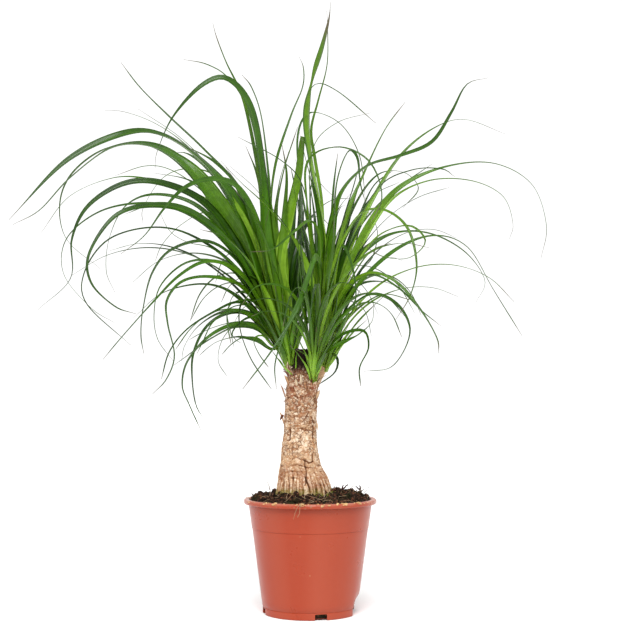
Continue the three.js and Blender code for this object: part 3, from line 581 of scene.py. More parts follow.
def carveBark(points, normals):
    # returns moved points and the bark's marks: how deep, which flake, how far onto the cut top, where the
    # colours paint shade, and how smooth
    s = trunkSetup
    x, y, z = points.T
    heights, centres, _ = trunkRings()
    turn = np.arctan2(y, x - np.interp(z, heights, centres))
    foot = 1 - smooth(s["furrowTop"] - s["footReach"], s["furrowTop"], z)
    cut = smooth(s["cutLow"], s["cutLow"] + 9, z)
    cut = cut * (1 - smooth(*s["cutReach"], np.hypot(x - s["cutCentre"], y)))
    stub = smooth(3.5, 8, x) * smooth(222, 231, z)
    rising = smooth(*s["roughFrom"], z)
    rough = mix(0.5, 1, rising) * (1 - 0.5 * foot)
    # scars of old leaves, as wavy rings that fade out in places
    wander = 2.2 * lumps(points, "wander") + 1.3 * lumps(points, "waver")
    ring = (z + wander) / s["scarPitch"]
    gap = np.abs(ring - np.round(ring)) * s["scarPitch"]
    scarred = smooth(-0.35, 0.4, lumps(points, "scarred"))
    scar = np.exp(-(gap / s["scarWidth"]) ** 2) * scarred * (1 - 0.75 * foot) * (1 - cut)
    scar = scar * mix(1, 0.45, smooth(170, 200, z))
    # large and small flakes, with cracks between them
    warped = points + np.stack([bumps(points, 4, 11 + i) for i in range(3)], axis=1) * s["warp"]
    crack, flake = plates(warped / np.array(s["flake"]), 21)
    crack = (1 - smooth(0.01, 0.12, crack)) * mix(0.15, 1, smooth(-0.35, 0.1, lumps(points, "cracked")))
    fine, chip = plates(warped / np.array(s["chip"]), 41)
    fine = (1 - smooth(0.01, 0.16, fine)) * mix(0.1, 1, smooth(-0.3, 0.15, lumps(points, "chipped")))
    # upright splits, then the furrows and thin furrows of the foot
    split = np.abs(np.sin(turn * s["splitTurns"] + 2.4 * lumps(points, "splitWay")))
    split = (1 - smooth(0, 0.09, split)) * smooth(0.25, 0.5, lumps(points, "splitPlace")) * (1 - cut)
    lean = turn * s["furrows"] / 2 + 1.9 * lumps(points, "furrowWay") + z * 0.03
    ragged = smooth(-0.5, 0.3, lumps(points, "furrowPlace"))
    furrow = (1 - smooth(0.0, 0.75, np.abs(np.sin(lean)))) * foot * mix(0.35, 1, ragged)
    lean = turn * s["furrows"] * 0.83 + 2.6 * lumps(points, "thinWay")
    thin = 1 - smooth(0.0, 0.7, np.abs(np.sin(lean)))
    thin = thin * (1 - smooth(s["furrowTop"] - 34, s["furrowTop"] - 4, z))
    drawnCrack, drawnTone, toned = drawnMarks(x, y, z)
    # how far out each point moves
    out = 0.75 * lumps(points, "swells") + 0.35 * lumps(points, "dents") + 0.22 * lumps(points, "pits")
    out += ((flake - 0.5) * s["flakeStep"] - 0.5 * crack) * rough
    out += ((chip - 0.5) * s["chipStep"] - 0.34 * fine) * rough - 1.0 * drawnCrack
    out += s["scarDepth"] * (0.45 * np.exp(-((gap - 1.5) / 0.7) ** 2) * scarred * (1 - foot) - scar)
    out += foot * 1.2 - s["furrowDepth"] * furrow - s["thinDepth"] * thin - s["splitDepth"] * split
    ridges = bumps(np.stack([turn * 15, z * 0.16, z * 0], axis=1), 1.0, 51)
    out = out * (1 - 0.8 * stub) + cut * (1.0 * ridges + 0.5 * lumps(points, "cutFace"))
    # what the colours need to know
    # deep: how far a point lies in the cracks, splits, furrows and scars; the colours darken it there, partly
    # as the bark's own darker colour and partly as painted shade
    deep = 0.7 * scar + (0.6 * crack + 0.45 * fine) * rough + furrow + 0.7 * thin + 0.9 * split + drawnCrack
    plate = 0.5 + (0.6 * flake + 0.4 * chip - 0.5) * mix(0.6, 1.15, rising)
    # at the foot the ridges turn pale and the furrows dark, partly the bark's own colour and partly painted
    # shade in the furrows
    plate = mix(plate, 0.95 - 1.4 * np.maximum(furrow, thin) + 0.4 * (chip - 0.5), 0.85 * foot)
    plate = mix(plate, drawnTone, toned)
    marks = np.stack([np.clip(deep, 0, 1) * (1 - 0.8 * stub), np.clip(plate, 0, 1), cut, stub], axis=1)
    return points + normals * out[:, None], marks


def barkCells(tree, spot):
    # small ragged flakes: two numbers for each, and the distance to the gap beside it
    s = trunkSetup
    bend = addNode(tree, "ShaderNodeTexNoise", {"Vector": spot, **s["bend"]}).outputs["Color"]
    shift = addVector(tree, "SUBTRACT", bend, (0.5, 0.5, 0.5))
    shift = addVector(tree, "MULTIPLY", shift, (s["ragged"] * mm,) * 3)
    bent = addVector(tree, "MULTIPLY", addVector(tree, "ADD", spot, shift), s["cellShape"])
    where = {"Vector": bent, "Scale": s["cells"]}
    colours = addNode(tree, "ShaderNodeTexVoronoi", where).outputs["Color"]
    first, second, _ = addNode(tree, "ShaderNodeSeparateColor", {"Color": colours}).outputs
    edges = addNode(tree, "ShaderNodeTexVoronoi", where, feature="DISTANCE_TO_EDGE")
    return first, second, edges.outputs["Distance"]


def barkMaterial():
    s = trunkSetup
    material, tree, shader, spot = newMaterial("palmBark", s["shader"])
    deep, flake, cut, stub = readMarks(tree, "barkMarks")
    height = addNode(tree, "ShaderNodeSeparateXYZ", {"Vector": spot}).outputs["Z"]
    cloud, patch, warm, grain, fibre, torn = (
        addNoise(tree, spot, s[name]) for name in ("cloud", "patch", "warm", "grain", "fibre", "torn"))
    first, second, gap = barkCells(tree, spot)
    starts = ("rustFrom", "lowRustFrom", "cellsFrom", "mossFrom", "shadeFrom")
    upper, low, above, foot, topShade = (addFade(tree, height, *s[name]) for name in starts)
    rust = addMath(tree, "ADD", times(tree, upper, s["rust"]), s["leastRust"])
    rust = addMath(tree, "ADD", rust, times(tree, low, s["footRust"]))
    rust = times(tree, rust, addRamp(tree, cloud, [(0.40, 0.15), (0.55, 1)]))
    rust = times(tree, rust, addRamp(tree, second, [(0.25, 0.4), (0.5, 1)]))
    gap = addRamp(tree, gap, [(0.03, 1), (0.11, 0)])
    gap = times(tree, gap, addRamp(tree, torn, [(0.42, 0.1), (0.55, 1)]))
    # painted shade on the cut top: it deepens upwards from height 230 and is broken up by fibres
    topShade = addMath(tree, "ADD", topShade, addRamp(tree, fibre, [(0.4, 0.35), (0.6, 0)]), True)
    tone = addRamp(tree, patch, [(0.24, s["brown"]), (0.38, s["tan"]), (0.55, s["tan"]), (0.7, s["pale"])])
    tone = paint(tree, tone, [
        (addRamp(tree, flake, [(0.2, 0.6), (0.45, 0)]), "brown"),
        (addRamp(tree, flake, [(0.6, 0), (0.85, 0.55)]), "pale"),
        (addRamp(tree, warm, [(0.52, 0), (0.64, 0.8)]), "orange"),
        (rust, "red"),
        (times(tree, addRamp(tree, first, [(0.1, 0.4), (0.25, 0)]), above), "brown"),
        (times(tree, addRamp(tree, first, [(0.72, 0), (0.86, 0.6)]), above), "pale"),
        (addRamp(tree, grain, [(0.33, 0.75), (0.45, 0)]), "brown"),
        (addRamp(tree, grain, [(0.55, 0), (0.68, 0.8)]), "pale"),
        (times(tree, times(tree, gap, above), 0.92), "gap"),
        (times(tree, stub, 0.75), "tan"),
        # partly painted shade: the carved cracks, furrows and scars darken, partly as the bark's own darker
        # colour
        (addRamp(tree, deep, [(0.15, 0), (0.7, 0.9)]), "brown"),
        (addRamp(tree, deep, [(0.55, 0), (1, 0.85)]), "dark"),
        (times(tree, foot, addRamp(tree, cloud, [(0.4, 0.2), (0.58, 0.9)])), "moss"),
        (times(tree, cut, topShade), "shadedTop"),
    ], s)
    tree.links.new(tone, shader.inputs["Base Color"])
    bump = addBump(tree, grain, 0.0006, 0.75)
    tree.links.new(addBump(tree, fibre, 0.0003, 0.4, bump), shader.inputs["Normal"])
    return material


def makeTrunk():
    s = trunkSetup
    trunk = makePiece("trunkBark", trunkShape(), barkMaterial(), "trunk")
    remesh = trunk.modifiers.new("oneSkin", "REMESH")
    remesh.mode, remesh.voxel_size, remesh.use_smooth_shade = "VOXEL", s["voxel"] * mm, True
    relax = trunk.modifiers.new("relax", "SMOOTH")
    relax.factor, relax.iterations = 0.5, s["relaxSteps"]
    settle(trunk)
    mesh = trunk.data
    count = len(mesh.vertices)
    spots, normals = np.zeros(count * 3, np.float32), np.zeros(count * 3, np.float32)
    mesh.vertices.foreach_get("co", spots)
    mesh.vertex_normals.foreach_get("vector", normals)
    carved, marks = carveBark(spots.reshape(-1, 3).astype(float) / mm, normals.reshape(-1, 3).astype(float))
    mesh.vertices.foreach_set("co", (carved * mm).astype(np.float32).ravel())
    layer = mesh.attributes.new("barkMarks", "FLOAT_COLOR", "POINT")
    layer.data.foreach_set("color", marks.astype(np.float32).ravel())
    mesh.update()
    mesh.shade_smooth()


def strip(path, facing, width, thick):
    # a thin closed strip along a path, widest in its middle
    along = unit(np.gradient(path, axis=0))
    side = unit(np.cross(along, facing))
    face = np.cross(side, along)
    share = np.linspace(0, 1, len(path))
    half = width / 2 * (0.55 + 0.45 * np.sin(math.pi * share ** 0.7)) * (1 - 0.75 * smooth(0.6, 1, share))
    corners = [(-1, 0.2), (-0.4, 1), (0.4, 1), (1, 0.2), (0, -0.4)]
    points = [path[k] + side[k] * half[k] * a + face[k] * thick * b
              for k in range(len(path)) for a, b in corners]
    return np.array(points), loftFaces(len(path), len(corners))


scaleSetup = {
    "length": (3, 8), "width": (1.4, 4.2), "thick": 0.35,
    # how many stand round the trunk's top, from what height and over what height
    "crown": 30, "crownFrom": 204, "crownReach": 34, "crownSize": 0.7,
    "cream": (0.62, 0.49, 0.34), "tan": (0.43, 0.245, 0.125), "rust": (0.21, 0.065, 0.034),
    "dark": (0.06, 0.022, 0.01),
    "fibre": (420, 3, 0.65, (1, 1, 0.35)),
    "shader": {"Roughness": 0.75, "Specular IOR Level": 0.25},
    # loose ones seen in front: root, outward end, width and tone
    "loose": [((-25, -8, 214), (-30, -9, 227), 1.5, 0.35), ((-26, -6, 187), (-31, -8, 200), 2.0, 0.5),
              ((-26.5, -7, 196), (-30.5, -8, 190), 2.6, 0.15), ((6.0, -7, 189), (7.6, -8, 180), 2.0, 0.6),
              ((-9, -16.5, 226), (-9.5, -18, 237), 2.2, 1.0), ((-23, -6, 241), (-22.5, -7, 250), 1.8, 0.9),
              ((-13, -15, 224), (-15, -18, 232), 3.2, 0.6), ((-4, -16, 222), (-6, -19, 229), 3.0, 0.4),
              ((6, -10, 212), (9.5, -12, 221), 3.4, 0.5), ((-21, -10, 226), (-26, -12, 236), 3.0, 0.45)],
    "looseFacing": (0.15, -1, 0.1), "looseBow": 1.6,
}


def scaleMaterial():
    s = scaleSetup
    material, tree, shader, spot = newMaterial("dryScale", s["shader"])
    tone, along, _, _ = readMarks(tree, "scaleMarks")
    fibre = addNoise(tree, spot, s["fibre"])
    tone = addMath(tree, "ADD", tone, times(tree, addMath(tree, "SUBTRACT", fibre, 0.5), 0.8), True)
    colour = addRamp(tree, tone, [(0.02, s["dark"]), (0.25, s["rust"]), (0.45, s["tan"]), (0.75, s["cream"])])
    colour = addMix(tree, addRamp(tree, along, [(0.0, 0.6), (0.3, 0)]), colour, s["rust"])
    tree.links.new(colour, shader.inputs["Base Color"])
    tree.links.new(addBump(tree, fibre, 0.0004, 0.6), shader.inputs["Normal"])
    return material


def makeScales():
    # papery remains of old leaves on the stubs and round the trunk's top
    s = scaleSetup
    draw = drawing(613)
    solids, marks = [], []
    steps = np.linspace(0, 1, 7)[:, None]

    def add(path, facing, width, tone):
        points, faces = strip(path, facing, width, s["thick"])
        solids.append((points, faces))
        share = np.repeat(steps[:, 0], len(points) // len(path))
        marks.append(np.stack([np.full(len(points), tone), share, share * 0, share * 0 + 1], axis=1))

    def grow(root, along, out, most=1.0):
        length = mix(*s["length"], draw() ** 1.6) * most
        curl, sideways = 0.15 + 0.6 * draw(), np.cross(along, out) * (draw() - 0.5) * 1.1
        path = root + (along + sideways) * length * steps + out * (curl * length * steps ** 2 - 0.4)
        add(path, out, mix(*s["width"], draw()), draw())
    for shoot in shootSetup.values():
        low, high = (np.array(v, float) for v in shoot["stub"])
        along = unit(high - low)
        across = unit(np.cross(along, (0.3, 1, 0.1)))
        for _ in range(shoot["scales"]):
            turn, share = 2 * math.pi * draw(), 0.4 + 0.6 * draw()
            out = math.cos(turn) * across + math.sin(turn) * np.cross(along, across)
            grow(mix(low, high, share) + out * mix(*shoot["radii"], share), along, out)
    heights, centres, radii = trunkRings()
    for _ in range(s["crown"]):
        turn, height = 2 * math.pi * draw(), s["crownFrom"] + s["crownReach"] * draw() ** 0.7
        out = np.array([math.cos(turn), math.sin(turn), 0])
        centre, radius = np.interp(height, heights, centres), np.interp(height, heights, radii)
        root = out * (radius - 0.2) + (centre, 0, height)
        grow(root, unit(np.array([0, 0, 1.0]) - 0.25 * out), out, s["crownSize"])
    for start, end, width, tone in s["loose"]:
        start, end = np.array(start, float), np.array(end, float)
        bow = np.array([0, 0, s["looseBow"]]) * np.sin(math.pi * steps)
        add(start + (end - start) * steps + bow, np.array(s["looseFacing"]), width, tone)
    marks = {"scaleMarks": np.concatenate(marks)}
    makePiece("dryScales", gather(solids), scaleMaterial(), attributes=marks)


makeTrunk()
makeScales()
print("trunk made")


# soil

soilSetup = {
    # height at the wall and in the middle, where the middle lies, and how it falls between
    "edge": 113.4, "middle": 119.6, "centre": -5, "fall": 1.4,
    # hollows in the surface: place, reach each way and depth
    "hollows": [(9, -30, 16, 12, 2.4), (-42, 0, 15, 34, 3.2)],
    # heights of the rings beside the pot's wall, how many more lie over the top, and the gap to the wall
    "levels": (9, 12, 15, 18, 22, 40, 60, 80, 100, 109), "rings": 80, "sides": 220, "gap": 0.6,
    "trunkAt": -6, "trunkReach": 25,     # where the trunk's foot stands
    "dark": (0.006, 0.004, 0.003), "brown": (0.030, 0.014, 0.008), "light": (0.17, 0.065, 0.035),
    "green": (0.022, 0.028, 0.008),
    "cloud": (240, 4, 0.7), "film": (55, 2, 0.6), "grain": (900, 4, 0.7),
    "shader": {"Roughness": 0.93, "Specular IOR Level": 0.1},
}


def soilHeight(x, y):
    s = soilSetup
    share = np.minimum(1, np.hypot(x - s["centre"], y) / (potSetup["neckRadius"] - potSetup["wall"]))
    mound = mix(s["middle"], s["edge"], share ** s["fall"])
    for hollowX, hollowY, reachX, reachY, deep in s["hollows"]:
        mound = mound - deep * np.exp(-((x - hollowX) / reachX) ** 2 - ((y - hollowY) / reachY) ** 2)
    waves = np.sin(x * 0.41 + 1.3) * np.cos(y * 0.37 - 0.6) + 0.7 * np.sin(x * 0.19 - y * 0.33 + 2.1)
    spots = np.stack([x, y, np.zeros_like(x)], axis=1)
    right = smooth(16, 32, x) * (1 - smooth(48, 58, x)) * (1 - smooth(8, 30, np.abs(y)))
    rough = 1.2 * bumps(spots, 6, 61, 2) + 0.8 * bumps(spots, 2.3, 62) + 2.6 * right
    return mound + (0.9 * waves + rough) * (1 - 0.6 * smooth(0.86, 1, share))


def heightAt(x, y):
    return float(soilHeight(np.array([x]), np.array([y]))[0])


def soilSpot(draw, least=0.0):
    # a place on the open soil, outside the trunk's foot
    s = soilSetup
    while True:
        radius, turn = (potSetup["neckRadius"] - 4) * math.sqrt(draw()), 2 * math.pi * draw()
        x, y = radius * math.cos(turn), radius * math.sin(turn)
        if math.hypot(x - s["trunkAt"], y) > s["trunkReach"] + least:
            return x, y


def soilMaterial():
    s = soilSetup
    material, tree, shader, spot = newMaterial("pottingSoil", s["shader"])
    cloud, film, grain = (addNoise(tree, spot, s[name]) for name in ("cloud", "film", "grain"))
    tone = addRamp(tree, cloud, [(0.40, s["dark"]), (0.54, s["brown"]), (0.65, s["light"])])
    tone = addMix(tree, addRamp(tree, film, [(0.52, 0), (0.66, 0.5)]), tone, s["green"])
    tree.links.new(tone, shader.inputs["Base Color"])
    tree.links.new(addBump(tree, grain, 0.0009, 0.9), shader.inputs["Normal"])
    return material


def plainMaterial(name, look):
    # a two-toned natural material with fine grain
    first, second, scale, rough = look
    material, tree, shader, spot = newMaterial(name, {"Roughness": rough, "Specular IOR Level": 0.3})
    share = addRamp(tree, addNoise(tree, spot, (scale, 3, 0.6)), [(0.35, 0), (0.65, 1)])
    tree.links.new(addMix(tree, share, first, second), shader.inputs["Base Color"])
    grain = addNoise(tree, spot, (scale * 5, 2, 0.6))
    tree.links.new(addBump(tree, grain, 0.0002, 0.5), shader.inputs["Normal"])
    return material


def makeSoilBed(material):
    s, p = soilSetup, potSetup
    turns = around(s["sides"])

    def ringAt(radius, height=None):
        x, y = radius * np.cos(turns), radius * np.sin(turns)
        z = soilHeight(x, y) if height is None else np.full(s["sides"], float(height))
        return np.stack([x, y, z], axis=1)

    reaches = [wallRadius(height) - p["wall"] - s["gap"] for height in s["levels"]]
    rings = [ringAt(radius, p["floor"] + 0.4) for radius in (2, p["footRadius"] - p["wall"] - 1.4)]
    rings += [ringAt(reach, height) for reach, height in zip(reaches, s["levels"])]
    low = pressRecess(np.concatenate(rings))
    top = [ringAt(mix(reaches[-1], 1.5, k / s["rings"])) for k in range(s["rings"] + 1)]
    shape = np.concatenate([low] + top), loftFaces(len(rings) + len(top), s["sides"])
    makePiece("soilBed", shape, material, "soil")


def lumpShape():
    # twelve corners round a centre and the twenty triangles between them, facing out
    golden = (1 + math.sqrt(5)) / 2
    base = [(a * 1.0, b * golden, 0.0) for a in (-1, 1) for b in (-1, 1)]
    corners = np.array(base + [(z, x, y) for x, y, z in base] + [(y, z, x) for x, y, z in base])
    faces = []
    for a in range(12):
        for b in range(a + 1, 12):
            for c in range(b + 1, 12):
                sides = [np.linalg.norm(corners[i] - corners[j]) for i, j in ((a, b), (b, c), (a, c))]
                if max(sides) < 2.01:
                    facing = np.dot(np.cross(corners[b] - corners[a], corners[c] - corners[a]), corners[a])
                    faces.append((a, b, c) if facing > 0 else (a, c, b))
    return unit(corners), faces


lumpCorners, lumpFaces = lumpShape()


def rotationOf(draw):
    a, b, c = (2 * math.pi * draw() for _ in range(3))
    first = np.array([[math.cos(a), -math.sin(a), 0], [math.sin(a), math.cos(a), 0], [0, 0, 1]])
    second = np.array([[math.cos(b), 0, math.sin(b)], [0, 1, 0], [-math.sin(b), 0, math.cos(b)]])
    third = np.array([[1, 0, 0], [0, math.cos(c), -math.sin(c)], [0, math.sin(c), math.cos(c)]])
    return first @ second @ third


def boulder(draw, size):
    # the points of a small rough lump
    stretch = np.array([0.6 + 0.9 * draw() for _ in range(3)])
    jitter = np.array([0.72 + 0.56 * draw() for _ in range(len(lumpCorners))])
    return (lumpCorners * jitter[:, None] * stretch * size) @ rotationOf(draw)


crumbSetup = {
    "count": 2000, "size": (0.5, 2.0), "heapSize": (0.7, 1.7), "heapReach": 6.5,
    # heaps on the right and beside the rim, where the soil stands highest: place, height and count
    "heaps": [(28, -4, 8, 34), (36, -2, 6, 26), (50, 2, 7, 26), (-55, -8, 3, 12), (-44, 0, 2, 8),
              (-53, 8, 3, 8), (40, 18, 6, 16), (24, 10, 5, 14), (-36, -24, 3, 14)],
}


def makeCrumbs(material):
    s = crumbSetup
    draw = drawing(517)
    solids = []
    least, more = s["size"]
    for _ in range(s["count"]):
        x, y = soilSpot(draw)
        size = least + more * draw() ** 2.2
        lump = boulder(draw, size)
        solids.append((lump + (x, y, heightAt(x, y) + size * (draw() - 0.15)), lumpFaces))
    least, more = s["heapSize"]
    for heapX, heapY, high, count in s["heaps"]:
        for _ in range(count):
            away, turn = s["heapReach"] * draw(), 2 * math.pi * draw()
            x, y = heapX + away * math.cos(turn), heapY + away * math.sin(turn)
            if math.hypot(x, y) > potSetup["neckRadius"] - 3:
                continue
            lump = boulder(draw, least + more * draw())
            rise = high * 0.55 * (1 - away / s["heapReach"]) * draw()
            solids.append((lump + (x, y, heightAt(x, y) + rise), lumpFaces))
    makePiece("soilCrumbs", gather(solids), material, flat=True)


def curl(draw, x, y, z, length, rise, bend):
    # a path of nine steps that wanders from a start
    heading = 2 * math.pi * draw()
    steps = np.arange(9)
    headings = heading + steps * (draw() - 0.5) * bend
    slopes = rise + steps * (draw() - 0.65) * bend * 0.6
    level = np.cos(slopes)
    ways = np.stack([level * np.cos(headings), level * np.sin(headings), np.sin(slopes)], axis=1)
    return np.vstack([(x, y, z), (x, y, z) + np.cumsum(ways * length / len(steps), axis=0)])


def keepInPot(path):
    # keeps a fibre on the soil and within the rim
    radius = np.hypot(path[:, 0], path[:, 1])
    most = potSetup["neckRadius"] - 2.5
    path[:, :2] *= np.minimum(1, most / np.maximum(radius, 1e-6))[:, None]
    path[:, 2] = np.maximum(path[:, 2], soilHeight(path[:, 0], path[:, 1]) - 0.4)
    return path


fibreSetup = {
    "count": 120, "look": ((0.36, 0.28, 0.18), (0.36, 0.22, 0.11), 160, 0.8),
    "thick": (0.28, 0.13),
    # the fine roots that stand up or hang over the rim in the front view
    "drawn": [
        [(-5, -58, 113), (-7, -62, 113.8), (-9, -65.6, 113.4), (-12, -67.3, 110.5), (-14, -67.5, 106),
         (-16, -67, 99)],
        [(-6, -59, 113), (-8, -64, 113.9), (-9.5, -67.1, 112), (-10, -67.6, 105), (-12, -67, 101)],
        [(50, 3, 120), (52, 4, 124), (53, 5, 128), (53.5, 5, 131)],
        [(10, -52, 113), (13, -50, 118), (14, -49, 121), (13, -49, 123.5)],
        [(-22, -46, 113), (-23, -44, 119), (-21, -43, 122)],
        [(-2, -50, 114), (-6, -48, 118), (-4, -46, 121), (4, -44, 122)],
        [(-40, -14, 116), (-39.5, -14, 122), (-41, -15, 128), (-44, -16, 133)],
        [(38, 6, 118), (44, 8, 126), (51, 9, 133), (58, 9, 138)],
        [(-58, -20, 114), (-66, -24, 117), (-73, -26, 115), (-78, -28, 109)],
    ],
}


def makeFibres():
    s = fibreSetup
    draw = drawing(911)
    solids = []
    for _ in range(s["count"]):
        x, y = soilSpot(draw, 1)
        path = keepInPot(curl(draw, x, y, heightAt(x, y) + 0.3, 6 + 17 * draw(), 0.7 * draw() - 0.1, 0.5))
        thick = 0.10 + 0.13 * draw()
        solids.append(tube(path, np.linspace(thick, thick * 0.5, len(path)), 5))
    for line in s["drawn"]:
        path = np.array(line, float)
        steps = np.linspace(0, len(path) - 1, len(path) * 3)
        fine = np.stack([np.interp(steps, range(len(path)), path[:, i]) for i in range(3)], axis=1)
        solids.append(tube(fine, np.linspace(*s["thick"], len(fine))))
    makePiece("soilFibres", gather(solids), plainMaterial("rootStraw", s["look"]))


twigSetup = {
    "count": 42, "look": ((0.060, 0.022, 0.014), (0.020, 0.009, 0.006), 200, 0.9),
    "steps": 7, "crook": 0.9,
    # dark bits of twig that stick out of the soil, each as start, end and thickness
    "drawn": [((30, -8, 117), (33, -7, 127), 1.1), ((32, -7, 122), (38, -8, 127.5), 0.8),
              ((31, -7, 121), (26, -6, 125), 0.8), ((50, 0, 114), (50, 1, 126), 1.1),
              ((50, 1, 121), (46, 2, 124.5), 0.8), ((51, 1, 119), (54, 2, 122), 0.7),
              ((-54, -10, 113), (-58, -11, 118.5), 0.8), ((-45, -6, 112), (-44, -7, 119.5), 0.9),
              ((-47, 6, 113), (-49, 6, 119), 0.7), ((22, -12, 115), (26, -18, 121), 0.9),
              ((-35, -28, 113), (-30, -33, 117), 0.8), ((39, -14, 114), (44, -18, 119), 0.8),
              ((-40, 6, 113), (-41, 5, 122), 0.35), ((-41, 5, 121), (-44, 4, 130), 0.26),
              ((54, 3, 117), (61, 5, 127), 0.3)],
}


def makeTwigs():
    s = twigSetup
    draw = drawing(333)
    solids = []
    steps = s["steps"]
    for start, end, thick in s["drawn"]:
        crooks = np.array([[(draw() - 0.5) * s["crook"] for _ in range(3)] for _ in range(steps)])
        radii = np.linspace(thick, thick * 0.55, steps) * (0.8 + 0.4 * draw())
        solids.append(tube(np.linspace(start, end, steps) + crooks, radii))
    for _ in range(s["count"]):
        x, y = soilSpot(draw, 1)
        path = keepInPot(curl(draw, x, y, heightAt(x, y) + 0.2, 4 + 7 * draw(), 0.9 * draw(), 0.25))
        thick = 0.35 + 0.5 * draw()
        solids.append(tube(path, np.linspace(thick, thick * 0.6, len(path)), 5))
    makePiece("soilTwigs", gather(solids), plainMaterial("rottedTwig", s["look"]), flat=True)


mossSetup = {
    "count": 380, "strands": 3, "radii": (0.5, 0.46, 0.34, 0.1),
    "look": ((0.27, 0.26, 0.022), (0.10, 0.12, 0.016), 110, 0.85),
    "ring": (27.5, 5), "spread": 2.2,      # round the trunk's foot
}


def makeMoss():
    s = mossSetup
    draw = drawing(77)
    solids = []
    for _ in range(s["count"]):
        turn = 2 * math.pi * draw()
        reach = s["ring"][0] + s["ring"][1] * draw() ** 2
        x, y = soilSetup["trunkAt"] + reach * math.cos(turn), reach * math.sin(turn)
        z = heightAt(x, y) - 0.3
        for _ in range(s["strands"]):
            tip = (x + s["spread"] * (draw() - 0.5), y + s["spread"] * (draw() - 0.5), z + 0.9 + 1.9 * draw())
            solids.append(tube(np.linspace((x, y, z), tip, 4), s["radii"], 4))
    makePiece("mossTufts", gather(solids), plainMaterial("footMoss", s["look"]))


rimSetup = {
    # most bits lie in small heaps along the front of the rim, the rest anywhere there
    "count": 110, "heaps": [-65, -35, -8, 1, 33, 48], "heapWidth": 4, "arc": 2.3,
    "rollIn": 2.2, "roll": 2.3, "flat": 0.7,
    "look": ((0.66, 0.46, 0.22), (0.38, 0.17, 0.07), 260, 0.85),
}


def makeRimBits():
    # straw-coloured bits on the pot's rim
    s, p = rimSetup, potSetup
    draw = drawing(207)
    solids = []
    for i in range(s["count"]):
        turn = -math.pi / 2 + s["arc"] * (draw() - 0.5)
        if i % 3:
            x = s["heaps"][i % len(s["heaps"])] + s["heapWidth"] * (draw() - 0.5)
            turn = -math.acos(min(0.99, x / p["rimRadius"]))
        slope = math.radians(12 + 76 * draw())
        lump = boulder(draw, 0.4 + 0.85 * draw() ** 1.5)
        reach = p["rimRadius"] - s["rollIn"] + s["roll"] * math.cos(slope)
        rise = p["height"] - s["rollIn"] + s["roll"] * math.sin(slope)
        spot = np.array([reach * math.cos(turn), reach * math.sin(turn), rise])
        solids.append((lump * (1, 1, s["flat"]) + spot, lumpFaces))
    makePiece("rimBits", gather(solids), plainMaterial("strawBits", s["look"]), flat=True)


soilLook = soilMaterial()
makeSoilBed(soilLook)
makeCrumbs(soilLook)
makeFibres()
makeTwigs()
makeMoss()
makeRimBits()
print("soil made")


# leaves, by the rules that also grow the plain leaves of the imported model

bladeSetup = {
    "step": 54, "fewest": 4, "most": 8,      # stretches of the plain blade, for the clearance rule
    "tipWidth": 1.1, "base": 0.34, "swell": 0.24, "shoulder": 0.38, "taper": 1.1,
    "pinch": 0.65, "pinchSpread": 0.045,
    "lowTurn": 74, "archTurn": 38, "turnFrom": 0.3, "turnTo": 0.62, "leanPower": 1.3,
    # the fine blade
    "fineStep": 5.5, "fineFewest": 16, "fineMost": 110, "fineBase": 0.44, "fineSwell": 0.2, "fineTip": 1.3,
    "thick": 0.62, "channel": 0.46, "footFold": 0.25, "sway": 24, "swayTurns": 1.4,
    "lanes": (-1, -0.66, -0.33, 0, 0.33, 0.66, 1),
}
coreSetup = {
    "height": 38, "leafStart": 1.8, "lowest": 5, "highest": 8, "order": 7,
    # pegs that hold a shoot's leaves: from and to as shares of the height, and their radii
    "pegs": [(-0.08, 0.45, 4.0, 3.4), (0.42, 1.0, 3.4, 2)],
    # what the leaf material reads on them: along, across, tone and underside
    "marks": (0.06, 0.5, 0.3, 0),
}
clearance = {"face": 2.6, "edge": 1.4, "far": 12.6, "between": 4, "lap": 0.75, "nudge": 9, "tries": 16}
eye = {"away": 1250, "high": 227}            # where the front view below was taken from

# forms of leaves: the fine blade's width against the plain one's, over its whole run and on its arch alone,
# how fast it narrows towards its tip, where it is pinched, and its tone, from 0 for dark to 1 for bright
broad = {"taper": 0.85}
upright = {"taper": 0.6, "pinch": 0.77}
slim = {"fineWidth": 0.58}
slimBroad = {"fineWidth": 0.64, "taper": 0.85}
# slim leaves in the crown's middle, painted dark as shade
slimShaded = {"fineWidth": 0.58, "tone": 0.22}
full = {"fineWidth": 1.18}
broadest = {"fineWidth": 1.5, "tone": 0.72}
arched = {"archWidth": 0.62}
thinArch = {"archWidth": 0.46}

